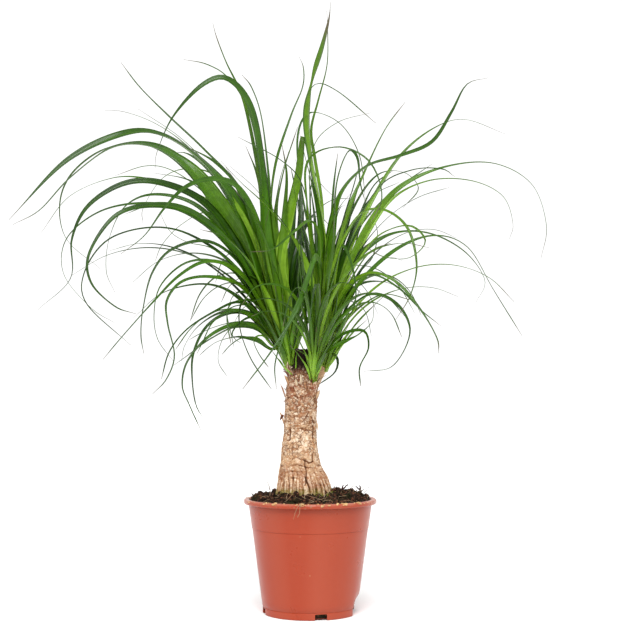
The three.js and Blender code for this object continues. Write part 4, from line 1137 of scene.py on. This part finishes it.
# leaves of the outline seen from the front: greatest width, how far the tip leans back, the x and z of points
# along the leaf, from low to tip, in millimetres, and for some a form
seenLeaves = {
    "left": [
        (18, -110, [-52, 362, -78, 418, -112, 458, -150, 482, -190, 483, -248, 455, -306, 394], full),
        (15, 40, [-58, 352, -88, 404, -122, 448, -160, 470, -202, 469, -244, 438, -275, 404, -302, 389],
         {"fineWidth": 1.18, "tone": 0.6}),
        (11, 130, [-65, 357, -98, 414, -135, 457, -172, 473, -212, 466, -244, 440, -255, 408, -247, 373,
                   -213, 344]),
        (10, -150, [-40, 322, -52, 387, -72, 426, -98, 436, -126, 428, -148, 406, -168, 378, -192, 359]),
        (11, -60, [-52, 318, -74, 368, -108, 412, -152, 432, -190, 431, -226, 408, -242, 374, -243, 334,
                   -276, 302]),
        (6, 150, [-50, 314, -78, 362, -122, 402, -170, 411, -215, 402, -248, 374, -250, 338, -222, 304,
                  -198, 289]),
        (9, -140, [-50, 318, -78, 366, -120, 401, -160, 409, -198, 398, -224, 360, -222, 330, -198, 306,
                   -176, 298]),
        (6, 70, [-54, 317, -80, 370, -116, 409, -158, 420, -188, 408, -204, 376, -207, 342, -198, 320]),
        (4, 170, [-55, 340, -92, 402, -126, 424, -160, 435, -200, 437, -245, 418, -274, 380]),
        (3.5, 160, [-52, 345, -84, 396, -112, 425, -142, 445, -168, 449, -199, 439]),
        (3.5, 140, [-46, 350, -70, 410, -98, 440, -128, 446, -152, 435, -170, 406, -170, 390]),
        (4, -20, [-48, 302, -80, 350, -125, 380, -165, 386, -206, 373, -229, 340, -226, 308, -181, 266]),
        (7, -110, [-48, 305, -72, 350, -104, 372, -140, 364, -160, 340, -169, 304, -171, 277, -168, 258],
         arched),
        (4.5, 110, [-52, 330, -78, 378, -104, 401, -130, 390, -150, 369, -158, 350]),
        (6, -90, [-46, 300, -68, 338, -98, 364, -124, 371, -142, 382, -153, 402], arched),
        (9, -170, [-46, 302, -64, 332, -84, 348, -108, 351, -134, 336, -160, 309, -190, 275, -209, 252],
         thinArch),
        (5.5, -20, [-58, 316, -80, 344, -105, 353, -130, 348, -152, 326, -158, 298, -154, 272, -138, 250],
         arched),
        (8, -120, [-48, 300, -72, 328, -103, 336, -130, 331, -145, 312, -144, 288, -137, 256, -145, 232,
                   -159, 217], thinArch),
        (4.5, 90, [-44, 284, -66, 309, -90, 325, -118, 328, -152, 318, -179, 294]),
        (6.5, -130, [-43, 282, -56, 301, -74, 310, -96, 301, -124, 283, -142, 260, -150, 232], thinArch),
        (4.5, 30, [-46, 288, -68, 301, -92, 299, -114, 285, -127, 266, -130, 250]),
        (7, -60, [-43, 284, -62, 299, -84, 300, -99, 289, -108, 271, -114, 258], thinArch),
        (4.5, -35, [-44, 278, -64, 298, -86, 298, -106, 284, -118, 258, -119, 232, -115, 206, -106, 191]),
        (3.5, -110, [-42, 275, -58, 287, -80, 287, -104, 274, -124, 250, -129, 226, -122, 207, -110, 181]),
        (5, 60, [-40, 274, -58, 285, -80, 284, -104, 271, -124, 256, -138, 246]),
        (3.5, 45, [-38, 262, -54, 271, -74, 275, -92, 271, -102, 265, -112, 256]),
        (4, -50, [-38, 262, -52, 273, -68, 274, -80, 267, -89, 257], {"fineWidth": 0.55, "tone": 0.5}),
        (3.5, 75, [-40, 276, -58, 288, -78, 285, -90, 270, -93, 250, -84, 235]),
        (4, -60, [-36, 264, -48, 276, -57, 272, -52, 258, -42, 244], {"fineWidth": 0.5, "tone": 0.8}),
        (3, -85, [-42, 288, -58, 311, -70, 308, -71, 284, -60, 253, -39, 222]),
        (3.5, 55, [-44, 292, -62, 318, -77, 318, -84, 300, -81, 282, -77, 264]),
        (4, -30, [-42, 312, -54, 334, -68, 336, -82, 326, -90, 310]),
        (6, 90, [-34, 310, -50, 370, -76, 430, -108, 466, -144, 500, -174, 530, -194, 556]),
        (6.5, -70, [-40, 322, -62, 386, -96, 438, -130, 474, -160, 494, -190, 505, -210, 506]),
        (3, -20, [-42, 330, -66, 392, -98, 442, -132, 478, -176, 508]),
        (4.5, 60, [-28, 325, -40, 405, -52, 460, -64, 508, -84, 540, -106, 554, -130, 559]),
        (14, -30, [-32, 300, -43, 372, -48, 440, -60, 508, -84, 539, -110, 533, -140, 500, -156, 464,
                   -158, 447], full),
        (8, 20, [-32, 310, -45, 385, -54, 450, -68, 516, -86, 556, -96, 582, -100, 597]),
        (4, 85, [-27, 310, -38, 385, -43, 445, -50, 500, -60, 530, -70, 543]),
        (14, 15, [-24, 300, -31, 350, -22, 396, -12, 440, -7, 480, 0, 455, 10, 432, 30, 412]),
        (5, 60, [-24, 320, -34, 392, -28, 440, -13, 489]),
        (5, 95, [-28, 315, -39, 395, -36, 448, -20, 500, -8, 530, -7, 550, -12, 563]),
        (9, 40, [-26, 310, -36, 380, -32, 430, -22, 464]),
        (14, 75, [-42, 312, -60, 366, -86, 408, -122, 434, -160, 442], {"fineWidth": 1.18, "tone": 0.5}),
        (15, -5, [-34, 310, -48, 372, -68, 420, -96, 452, -128, 470], {"fineWidth": 1.4, "tone": 0.62}),
        (9, -45, [-30, 300, -42, 345, -46, 380, -42, 404]),
        (13, 10, [-26, 300, -28, 350, -26, 400, -24, 440, -29, 472]),
        (13, 35, [-28, 300, -37, 350, -45, 400, -54, 440, -66, 470]),
        (13, 60, [-22, 300, -20, 350, -16, 400, -12, 445], {"tone": 0.6}),
        (14, -20, [-34, 300, -46, 345, -56, 385, -68, 420, -86, 448], broadest),
        (13, 60, [-34, 300, -52, 350, -72, 400, -98, 440, -126, 462, -146, 460],
         {"fineWidth": 1.18, "tone": 0.4}),
        (11, -50, [-28, 290, -34, 330, -44, 368, -58, 400, -76, 424], {"tone": 0.6}),
        (9, -75, [-30, 280, -44, 318, -62, 352, -86, 376, -112, 384]),
        (2.5, -40, [-40, 274, -54, 287, -70, 290, -86, 288, -104, 282, -122, 272]),
        (4, -70, [-38, 280, -50, 294, -60, 295, -69, 291, -76, 284, -79, 277, -74, 271, -70, 269]),
        (3, -25, [-42, 284, -52, 303, -64, 307, -76, 306, -90, 299]),
        (2.5, -60, [-42, 290, -58, 305, -70, 312, -82, 306, -84, 290, -80, 268]),
        (3, 40, [-38, 266, -50, 280, -66, 287, -84, 284, -100, 276]),
        (3.5, -20, [-38, 272, -52, 290, -74, 302, -98, 300, -120, 284, -136, 262]),
        # the next two leaves lie in the crown's middle and are painted dark as shade
        (12, 45, [-20, 290, -14, 330, -9, 370, -6, 412], {"tone": 0.15}),
        (11, 85, [-22, 290, -17, 330, -11, 375, -10, 420, -15, 456], {"tone": 0.1}),
    ],
    "right": [
        (15, 5, [14, 315, 14, 366, 8, 408, 0, 456, -4, 502, 3, 542, 12, 572, 19, 600, 21, 619], upright),
        (5, 12, [13, 330, 13, 400, 5, 455, 1, 486, 8, 516, 17, 552, 18, 585, 17, 610]),
        (13, -50, [17, 312, 20, 370, 30, 420, 56, 449, 92, 460, 124, 474, 144, 504, 160, 533, 182, 540],
         broad),
        (5, 110, [22, 305, 40, 364, 64, 416, 92, 460, 126, 488, 158, 497, 199, 482]),
        (6, 60, [20, 320, 36, 395, 54, 440, 76, 486, 97, 515]),
        (11, 35, [20, 292, 36, 340, 60, 390, 92, 428, 140, 449, 188, 452, 226, 430, 240, 388, 234, 354],
         slim),
        (4.5, 150, [24, 302, 48, 360, 80, 412, 120, 434, 164, 434, 196, 418, 206, 390, 202, 374]),
        (6, -60, [22, 312, 42, 378, 70, 428, 104, 445, 134, 446, 147, 438]),
        (3.5, 60, [22, 315, 44, 376, 78, 418, 124, 451]),
        (3.5, 130, [22, 322, 40, 396, 66, 438, 94, 443, 110, 426, 94, 406]),
        (8, -75, [20, 290, 40, 338, 68, 377, 100, 388, 117, 372, 100, 355, 72, 357, 50, 372],
         {"fineWidth": 0.5}),
        (6.5, 100, [20, 292, 42, 348, 78, 378, 118, 381, 156, 362, 177, 332, 168, 310]),
        (6.5, -20, [20, 278, 46, 325, 86, 363, 126, 378, 160, 366, 186, 322, 214, 276], {"fineWidth": 0.64}),
        (5.5, -80, [20, 285, 34, 322, 60, 340, 88, 330, 112, 302, 128, 274, 130, 258]),
        (5.5, -5, [18, 280, 36, 322, 62, 338, 90, 324, 112, 302, 132, 286]),
        (5.5, 100, [16, 272, 28, 308, 50, 328, 72, 331, 88, 326]),
        (4.5, 45, [16, 260, 30, 286, 54, 308, 76, 318, 102, 312]),
        (4, 30, [16, 272, 28, 306, 42, 311, 56, 300, 62, 275]),
        (3.5, -15, [17, 250, 23, 258, 28, 250, 24, 238, 9, 227]),
        (3, 90, [20, 320, 36, 375, 56, 402, 68, 384, 64, 358, 54, 344]),
        (11, 5, [14, 300, 22, 352, 34, 396, 44, 428, 49, 447], slim),
        (10, 70, [18, 292, 32, 345, 48, 392, 64, 428, 84, 444], slim),
        (10, 25, [24, 285, 34, 325, 44, 362, 52, 392], slim),
        (11, 35, [16, 300, 20, 350, 22, 400, 24, 430, 28, 462], slimBroad),
        (13, -20, [12, 300, 12, 345, 8, 395, 2, 430, -6, 462, -11, 484], slim),
        (11, 50, [18, 300, 28, 350, 38, 390, 46, 420, 58, 452], slimBroad),
        (11, -30, [18, 290, 24, 330, 32, 372, 44, 408, 58, 430], {"fineWidth": 0.7, "tone": 1.2}),
        (12, 65, [12, 300, 8, 350, 4, 400, -2, 440], slim),
        (10, 80, [20, 300, 32, 350, 48, 395, 66, 420, 90, 432], slim),
        (9, 10, [18, 270, 30, 306, 44, 338, 62, 362, 82, 370], slim),
        (12, 100, [9, 300, 1, 340, -6, 380, -14, 420, -20, 448], slim),
        (10, 75, [11, 290, 6, 330, 2, 370, 0, 410, 2, 442], slim),
        (5, -30, [10, 310, 2, 380, -8, 430, -30, 455, -74, 479]),
        (4, 115, [8, 340, -8, 420, -13, 478, 0, 504, 30, 493, 50, 460, 56, 415]),
    ],
    "front": [
        (7, -40, [8, 320, 10, 390, -1, 450, -7, 502, 4, 533, 28, 526, 67, 493]),
        (3.5, -80, [4, 340, -1, 420, 4, 470, 28, 494, 62, 504]),
        (6.5, -65, [6, 330, -4, 410, -2, 455, 28, 469, 60, 454, 73, 418, 60, 388]),
        (8.5, -95, [14, 305, 22, 370, 26, 430, 38, 464, 48, 458, 51, 432, 56, 412]),
        (8, -140, [12, 295, 24, 350, 46, 396, 72, 405, 98, 387, 108, 350, 102, 318, 86, 291],
         {"fineWidth": 0.75}),
        (6.5, -120, [14, 262, 30, 294, 60, 318, 88, 308, 101, 280, 84, 246, 54, 240], arched),
        (6.5, -60, [10, 256, 26, 266, 46, 276, 62, 290, 64, 308], {"fineWidth": 0.75}),
        (5.5, -95, [12, 256, 32, 277, 54, 281, 59, 264, 50, 244, 51, 225], arched),
        (7, -120, [14, 300, 26, 348, 33, 368, 43, 345, 46, 312, 34, 284], {"archWidth": 0.62, "tone": 0.4}),
        (10, -135, [9, 300, 12, 340, 6, 356, -2, 336, -14, 302, -38, 262, -68, 222], {"fineWidth": 0.78}),
        (5, -110, [5, 300, 2, 324, -8, 316, -22, 288, -35, 250, -34, 222]),
        (6, -75, [-2, 275, -8, 304, -28, 326, -54, 326, -70, 306]),
        (8.5, -65, [4, 290, 2, 330, -16, 374, -44, 408, -70, 432, -91, 454]),
        (5, -35, [2, 330, -20, 380, -54, 424, -82, 449]),
        (9, -105, [8, 300, 12, 362, 2, 393, -16, 382, -38, 364, -60, 361]),
        (11, -38, [9, 280, 13, 330, 17, 372, 28, 404, 44, 424], {"tone": 1.05}),
        (9, -20, [0, 290, -2, 340, -9, 385, -17, 430], slimShaded),
        (7, -90, [1, 270, -7, 300, -12, 330, -10, 352], slimShaded),
        (10, -60, [8, 275, 16, 320, 22, 358, 24, 392], {"tone": 0.7}),
        (10, -85, [3, 285, 2, 325, 0, 362, -8, 392], slim),
        (9, -55, [8, 280, 15, 330, 26, 375, 40, 406], {"tone": 1.1}),
        (9, -40, [-2, 280, -6, 315, -11, 350, -13, 388], slimShaded),
    ],
}

# leaves by rule, which fill the crown all round; angles in degrees, 90 is straight back
fillSetup = {"parts": 7, "bendPower": 1.35, "headingSpread": 16, "drift": 50, "highestStart": 0.7}
fillLeaves = {
    "left": {"count": 18, "seed": 41, "from": 42, "to": 165, "rise": (60, 86), "bend": (70, 150),
             "length": (190, 320), "width": (5, 10), "fineWidth": 0.82},
    "right": {"count": 14, "seed": 87, "from": 8, "to": 124, "rise": (60, 86), "bend": (70, 150),
              "length": (150, 260), "width": (5, 10), "fineWidth": 0.55},
    "front": {"count": 9, "seed": 29, "from": -128, "to": -44, "rise": (60, 82), "bend": (80, 150),
              "length": (120, 220), "width": (5, 9), "fineWidth": 0.7},
}


def curvePoints(knots, shares):
    # a smooth curve through the knots, at shares of its run
    knots = np.asarray(knots, float)
    spots = np.asarray(shares, float) * (len(knots) - 1)
    first = np.minimum(spots.astype(int), len(knots) - 2)
    w = (spots - first)[:, None]
    ends = np.vstack([2 * knots[0] - knots[1], knots, 2 * knots[-1] - knots[-2]])
    p0, p1, p2, p3 = (ends[first + i] for i in range(4))
    t0, t1 = (p2 - p0) / 2, (p3 - p1) / 2
    return p1 + t0 * w + (3 * (p2 - p1) - 2 * t0 - t1) * w ** 2 + (2 * (p1 - p2) + t0 + t1) * w ** 3


def evenPoints(knots, count):
    # points at even steps along the curve, and its length
    trial = np.linspace(0, 1, 201)
    line = curvePoints(knots, trial)
    run = np.concatenate([[0], np.cumsum(np.linalg.norm(np.diff(line, axis=0), axis=1))])
    shares = np.interp(np.linspace(0, run[-1], count + 1), run, trial)
    return curvePoints(knots, shares), run[-1]


def breadth(leaf, share, base, swell):
    # share of a blade's greatest width at a share of its length
    s = bladeSetup
    sheath = mix(base, 1, smooth(0, swell, share))
    tail = np.minimum(1, ((1 - share) / (1 - s["shoulder"])) ** leaf.get("taper", s["taper"]))
    if "pinch" in leaf:
        tail = tail * (1 - s["pinch"] * np.exp(-((share - leaf["pinch"]) / s["pinchSpread"]) ** 2))
    return sheath * tail


def stations(leaf, count, base, swell, tipWidth):
    # sections at even steps along a leaf: middle, way across, upward side, half width and share of its length
    s = bladeSetup
    middles, _ = evenPoints(leaf["knots"], count)
    share = np.linspace(0, 1, count + 1)
    ahead = np.vstack([middles[1:], middles[-1:]])
    behind = np.vstack([middles[:1], middles[:-1]])
    along = unit(ahead - behind)
    heading = leaf["knots"][-1] - leaf["knots"][0]
    level = unit(np.array([heading[1], -heading[0], 0.0]))
    flat = unit(level - along * (along @ level)[:, None])
    top = np.cross(flat, along)
    face = mix(s["lowTurn"], s["archTurn"], smooth(s["turnFrom"], s["turnTo"], share))
    turn = np.radians(leaf["turn"] * face)[:, None]
    across = flat * np.cos(turn) + top * np.sin(turn)
    upper = top * np.cos(turn) - flat * np.sin(turn)
    half = np.maximum(tipWidth, leaf["width"] * breadth(leaf, share, base, swell)) / 2
    return middles, across, upper, half, share


def leafStart(shoot, heading, rank):
    setup, s = shootSetup[shoot], coreSetup
    height = mix(s["lowest"], s["height"] - s["highest"], rank)
    start = np.array(setup["seat"], float) + unit(setup["lean"]) * height
    return start + np.array([math.cos(heading), math.sin(heading), 0]) * s["leafStart"]


def seenLeaf(shoot, row, rank):
    # a leaf from its front view: points further back move along the line of sight
    width, depth, line, *form = row
    seat = shootSetup[shoot]["seat"]
    count = len(line) // 2
    spots = []
    for i in range(count):
        back = depth * ((i + 1) / count) ** bladeSetup["leanPower"] + seat[1]
        scale = (eye["away"] + back) / eye["away"]
        spots.append((line[2 * i] * scale, back, eye["high"] + (line[2 * i + 1] - eye["high"]) * scale))
    heading = math.atan2(spots[0][1] - seat[1], spots[0][0] - seat[0])
    knots = np.array([leafStart(shoot, heading, rank)] + spots)
    turn = 1 if spots[-1][0] < seat[0] else -1
    return {"shoot": shoot, "width": width, "knots": knots, "turn": turn, **(form[0] if form else {})}


def fillLeaf(shoot, rule, share, draw):
    # a leaf by rule: it rises from the shoot, then bends over and falls
    s = fillSetup

    def between(limits):
        return mix(limits[0], limits[1], draw())
    heading = math.radians(mix(rule["from"], rule["to"], share) + (draw() - 0.5) * s["headingSpread"])
    rise, bend = math.radians(between(rule["rise"])), math.radians(between(rule["bend"]))
    length, width = between(rule["length"]), between(rule["width"])
    drift = math.radians((draw() - 0.5) * s["drift"])
    turn = draw() - 0.5
    knots = [leafStart(shoot, heading, draw() * s["highestStart"])]
    for i in range(1, s["parts"] + 1):
        along = (i - 0.5) / s["parts"]
        slope, way = rise - bend * along ** s["bendPower"], heading + drift * along
        stride = length / s["parts"]
        ahead = np.array([math.cos(slope) * math.cos(way), math.cos(slope) * math.sin(way), math.sin(slope)])
        knots.append(knots[-1] + stride * ahead)
    return {"shoot": shoot, "width": width, "knots": np.array(knots), "turn": turn,
            "fineWidth": rule["fineWidth"]}


def sampled(leaf):
    # points along the straight stretches of the plain blade
    s = bladeSetup
    length = evenPoints(leaf["knots"], 2)[1]
    count = min(s["most"], max(s["fewest"], math.floor(length / s["step"] + 0.5)))
    middles, across, upper, half, _ = stations(leaf, count, s["base"], s["swell"], s["tipWidth"])
    share = (np.arange(clearance["between"]) / clearance["between"])[None, :, None]

    def blend(rows):
        return (rows[:-1, None] * (1 - share) + rows[1:, None] * share).reshape(-1, rows.shape[1])
    spots = blend(middles)
    return {"middle": spots, "across": blend(across), "top": blend(upper), "half": blend(half[:, None])[:, 0],
            "pitch": np.linalg.norm(spots[1] - spots[0]) * clearance["lap"],
            "low": spots.min(0), "high": spots.max(0)}


def touches(blade, other, width):
    lanes = np.array([-1, 0, 1])[None, :, None]
    spots = blade["middle"][:, None] + lanes * (blade["across"] * blade["half"][:, None])[:, None]
    spots = spots.reshape(-1, 3)
    outside = np.maximum(np.maximum(other["low"] - spots, spots - other["high"]), 0)
    spots = spots[np.linalg.norm(outside, axis=1) <= clearance["far"]]
    if not len(spots):
        return False
    away = spots[:, None] - other["middle"][None]
    reach = width / 2 + clearance["edge"] + clearance["face"] + other["pitch"]
    near = (away ** 2).sum(2) <= reach ** 2
    beside = np.abs((away * other["across"]).sum(2)) < other["half"] + clearance["edge"]
    above = np.abs((away * other["top"]).sum(2)) < clearance["face"]
    ahead = np.abs((away * np.cross(other["across"], other["top"])).sum(2)) < other["pitch"]
    return bool((near & beside & above & ahead).any())


def bentBy(leaf, amount):
    # bends a leaf further back or forward, more towards its tip
    x, y, z = leaf["knots"].T
    moved = y + amount * (np.arange(len(y)) / (len(y) - 1)) ** bladeSetup["leanPower"]
    scale = (eye["away"] + moved) / (eye["away"] + y)
    return {**leaf, "knots": np.stack([x * scale, moved, eye["high"] + (z - eye["high"]) * scale], axis=1)}


def growCrown():
    # every leaf, bent clear of the leaves of the other shoots
    wanted = []
    for shoot, rows in seenLeaves.items():
        for i, row in enumerate(rows):
            wanted.append(seenLeaf(shoot, row, i * coreSetup["order"] % len(rows) / len(rows)))
    for shoot, rule in fillLeaves.items():
        draw = drawing(rule["seed"])
        for i in range(rule["count"]):
            wanted.append(fillLeaf(shoot, rule, (i + 0.5) / rule["count"], draw))
    placed = []
    for leaf in wanted:
        for go in range(clearance["tries"]):
            amount = clearance["nudge"] * math.ceil(go / 2) * (1 if go % 2 else -1)
            tried = bentBy(leaf, amount)
            blade = sampled(tried)
            clear = all(not touches(blade, other, kept["width"]) and not touches(other, blade, tried["width"])
                        for kept, other, _ in placed if kept["shoot"] != leaf["shoot"])
            if clear or go == clearance["tries"] - 1:
                placed.append((tried, blade, clear))
                break
    return [leaf for leaf, _, clear in placed if clear]


def bladeMesh(leaf, tone):
    # a channelled strap: seven points over the top, five under it
    s = bladeSetup
    count = math.ceil(evenPoints(leaf["knots"], 2)[1] / s["fineStep"])
    count = max(s["fineFewest"], min(s["fineMost"], count))
    middles, across, upper, half, share = stations(leaf, count, s["fineBase"], s["fineSwell"], s["fineTip"])
    narrow = leaf.get("fineWidth", 1) * mix(1, leaf.get("archWidth", 1), smooth(0.12, 0.45, share))
    half = np.maximum(s["fineTip"] / 2, half * narrow) * (1 - 0.7 * smooth(0.93, 1, share))
    sway = np.sin(2 * math.pi * (s["swayTurns"] * share + tone * 3)) * smooth(0.08, 0.5, share)
    sway = (np.radians(s["sway"]) * sway)[:, None]
    across, upper = across * np.cos(sway) + upper * np.sin(sway), upper * np.cos(sway) - across * np.sin(sway)
    fold = s["channel"] * (1 - 0.55 * share) + s["footFold"] * (1 - smooth(0, 0.12, share))
    corners = [(lane, 0) for lane in s["lanes"]] + [(lane, 1) for lane in s["lanes"][-2:0:-1]]
    points, marks = [], []
    for k in range(count + 1):
        thick = s["thick"] * (0.55 + 0.45 * (1 - share[k])) * min(1, 0.25 + half[k] / 2)
        for lane, under in corners:
            rise = half[k] * fold[k] * (abs(lane) ** 1.3 - 1)
            rise -= under * thick * (1 - 0.45 * abs(lane)) * (1.35 if lane == 0 else 1)
            points.append(middles[k] + across[k] * lane * half[k] + upper[k] * rise)
            marks.append((share[k], lane / 2 + 0.5, tone, under))
    return np.array(points), loftFaces(count + 1, len(corners)), np.array(marks)


leafLook = {
    # from the darkest leaves to the brightest
    "greens": [(0.0, (0.005, 0.026, 0.001)), (0.35, (0.050, 0.150, 0.004)), (0.7, (0.130, 0.275, 0.006)),
               (1.0, (0.24, 0.44, 0.032))],
    "base": (0.27, 0.40, 0.030), "deep": (0.013, 0.044, 0.003), "dry": (0.10, 0.075, 0.045),
    "rib": (0.12, 0.27, 0.008),
    "cloud": (38, 3, 0.55), "streak": (160, 2, 0.5), "veins": 62.8,
    "shader": {"Specular IOR Level": 0.16, "Coat Weight": 0.2, "Coat Roughness": 0.16},
}


def leafMaterial():
    s = leafLook
    material, tree, shader, spot = newMaterial("palmLeaf", s["shader"])
    along, across, tone, under = readMarks(tree, "leafMarks")
    cloud, streak = addNoise(tree, spot, s["cloud"]), addNoise(tree, spot, s["streak"])
    glow = times(tree, tone, addRamp(tree, along, [(0.2, 1), (0.6, 0.5)]))
    glow = addMath(tree, "ADD", glow, times(tree, addMath(tree, "SUBTRACT", cloud, 0.5), 0.45), True)
    veins = addMath(tree, "SINE", times(tree, across, s["veins"]))
    veins = times(tree, addMath(tree, "ADD", veins, 1.0), 0.5)
    rib = addRamp(tree, across, [(0.44, 0), (0.5, 1), (0.56, 0)])
    edge = addRamp(tree, across, [(0.0, 1), (0.09, 0), (0.91, 0), (1.0, 1)])
    dryness = addMath(tree, "ADD", along, times(tree, addMath(tree, "SUBTRACT", tone, 0.5), 0.06))
    colour = paint(tree, addRamp(tree, glow, s["greens"]), [
        (addRamp(tree, along, [(0.4, 0), (0.85, 0.7)]), "deep"),
        (addRamp(tree, along, [(0.02, 0.9), (0.07, 0.4), (0.2, 0)]), "base"),
        (times(tree, veins, 0.12), "deep"),
        (times(tree, rib, 0.3), "rib"),
        (times(tree, edge, 0.35), "rib"),
        (times(tree, under, 0.2), "rib"),
        (addRamp(tree, streak, [(0.3, 0.25), (0.5, 0)]), "deep"),
        (addRamp(tree, dryness, [(0.93, 0), (0.985, 0.9)]), "dry"),
    ], s)
    tree.links.new(colour, shader.inputs["Base Color"])
    tree.links.new(addRamp(tree, cloud, [(0.3, 0.24), (0.7, 0.36)]), shader.inputs["Roughness"])
    tree.links.new(addBump(tree, veins, 0.00015, 0.5), shader.inputs["Normal"])
    return material


leafPieces = {
    # seed, size of the core, number and size of the sheath leaves, tones of the darkest and brightest leaf,
    # and low leaves seen at the shoot's foot: width, and points from foot to tip
    "left": {
        "piece": "leavesLeft", "seed": 5, "core": 1, "sheaths": 19, "sheath": 1, "tones": (0.10, 1.35),
        "low": [(4.8, [(-17.5, -9, 237), (-22, -10, 241), (-27, -10, 246), (-32, -10, 252.5),
                       (-38, -9, 260)]),
                (3.0, [(-15, -8, 240), (-14.5, -9, 247), (-14, -9, 254), (-12.5, -9, 262)])]},
    "right": {
        "piece": "leavesRight", "seed": 6, "core": 1, "sheaths": 15, "sheath": 1, "tones": (0.0, 1.75),
        "low": [(3.4, [(15, -3, 240), (18, -5, 245), (23, -6, 251), (28, -6, 259), (31, -5, 269)])]},
    "front": {
        "piece": "leavesFront", "seed": 7, "core": 0.62, "sheaths": 12, "sheath": 0.7, "tones": (0.0, 1.3),
        "low": [(3.4, [(3, -19, 236), (2.4, -20, 244), (0.6, -21, 250.5), (-6, -22, 257.5), (-15, -22, 262)]),
                (3.2, [(5, -19, 234), (9, -21, 242), (12, -22, 252), (14, -22, 266)])]},
}
lowForm = {"turn": 0, "taper": 0.7, "tone": 1.15}


def sheathLeaf(shoot, share, draw):
    # a short broad leaf that hugs the shoot's middle
    setup, size = shootSetup[shoot], leafPieces[shoot]["sheath"]
    seat, lean = np.array(setup["seat"], float), unit(setup["lean"])
    turn = 2 * math.pi * share + (draw() - 0.5) * 0.5
    out = np.array([math.cos(turn), math.sin(turn), 0])
    length, spread = (36 + 50 * draw()) * size, 0.12 + 0.42 * draw()
    foot = seat + lean * (draw() * 9 - 4) + out * (3.4 * size)
    knots = [foot + (lean + out * spread * (0.4 + t)) * length * t for t in (0, 0.2, 0.45, 0.7, 1)]
    return {"width": (4.5 + 3.5 * draw()) * size, "knots": np.array(knots), "turn": 0, "taper": 0.8}


def makeShoot(shoot, leaves, material):
    setup, look, s = shootSetup[shoot], leafPieces[shoot], coreSetup
    draw = drawing(look["seed"])
    seat, lean = np.array(setup["seat"], float), unit(setup["lean"])
    solids, marks = [], []
    for first, last, low, high in s["pegs"]:
        solids.append(peg(seat + lean * s["height"] * first, seat + lean * s["height"] * last,
                          low * look["core"], high * look["core"], 18, 6))
        marks.append(np.tile(s["marks"], (len(solids[-1][0]), 1)))
    count = look["sheaths"]
    leaves = leaves + [sheathLeaf(shoot, (i + 0.5) / count, draw) for i in range(count)]
    leaves += [{"width": width, "knots": np.array(knots, float), **lowForm} for width, knots in look["low"]]
    for leaf in leaves:
        # fine leaves that lie behind are painted darker as shade; leaves that lie flat are darker too
        rise = unit(leaf["knots"][len(leaf["knots"]) // 2] - leaf["knots"][0])[2]
        behind = smooth(0, 55, leaf["knots"][-2][1]) if leaf.get("fineWidth", 1) < 1 else 0
        shade = mix(0.42, 1, smooth(0.55, 0.95, rise)) * mix(1, 0.2, behind)
        points, faces, leafMarks = bladeMesh(leaf, leaf.get("tone", mix(*look["tones"], draw()) * shade))
        solids.append((points, faces))
        marks.append(leafMarks)
    marks = {"leafMarks": np.concatenate(marks)}
    makePiece(look["piece"], gather(solids), material, "shoot_" + shoot, marks)


crown = growCrown()
print("crown grown:", len(crown), "leaves")
leafGreen = leafMaterial()
for shoot in shootSetup:
    makeShoot(shoot, [leaf for leaf in crown if leaf["shoot"] == shoot], leafGreen)
print("leaves made")


# floor and light

stageSetup = {
    "floor": 0.92, "mottle": 0.01, "noise": (3, 2, 0.5), "radius": 14, "sides": 96,
    "shader": {"Roughness": 0.75, "Specular IOR Level": 0.2},
    "sun": {"height": 54, "side": -3, "watts": 3.2, "spread": 34},
    # brightness of the room by the sine of the angle above level
    "room": [(0.0, 1.12), (0.45, 1.12), (1.0, 0.45)],
}


def makeStage():
    s = stageSetup
    mesh = bpy.data.meshes.new("paleFloor")
    points = [(s["radius"] * math.cos(t), s["radius"] * math.sin(t), 0) for t in around(s["sides"])]
    mesh.from_pydata(points, [], [tuple(range(len(points)))])
    material, tree, shader, spot = newMaterial("paleFloor", s["shader"])
    stops = [(0.3, s["floor"] - s["mottle"]), (0.7, s["floor"] + s["mottle"])]
    tree.links.new(addRamp(tree, addNoise(tree, spot, s["noise"]), stops), shader.inputs["Base Color"])
    mesh.materials.append(material)
    floor = addObject("paleFloor", mesh)


def makeLights():
    s = stageSetup
    world = bpy.data.worlds.new("softRoom")
    world.use_nodes = True
    tree = world.node_tree
    way = addNode(tree, "ShaderNodeTexCoord").outputs["Generated"]
    level = addNode(tree, "ShaderNodeSeparateXYZ", {"Vector": way}).outputs["Z"]
    tree.links.new(addRamp(tree, level, s["room"]), tree.nodes["Background"].inputs["Color"])
    bpy.context.scene.world = world
    sun = s["sun"]
    data = bpy.data.lights.new("softSun", "SUN")
    data.energy, data.angle = sun["watts"], math.radians(sun["spread"])
    lamp = addObject("softSun", data)
    lamp.rotation_euler = (math.radians(90 - sun["height"]), 0, math.radians(sun["side"]))


makeStage()
makeLights()
print("floor and lights made")

bpy.context.scene.view_settings.view_transform = "Standard"
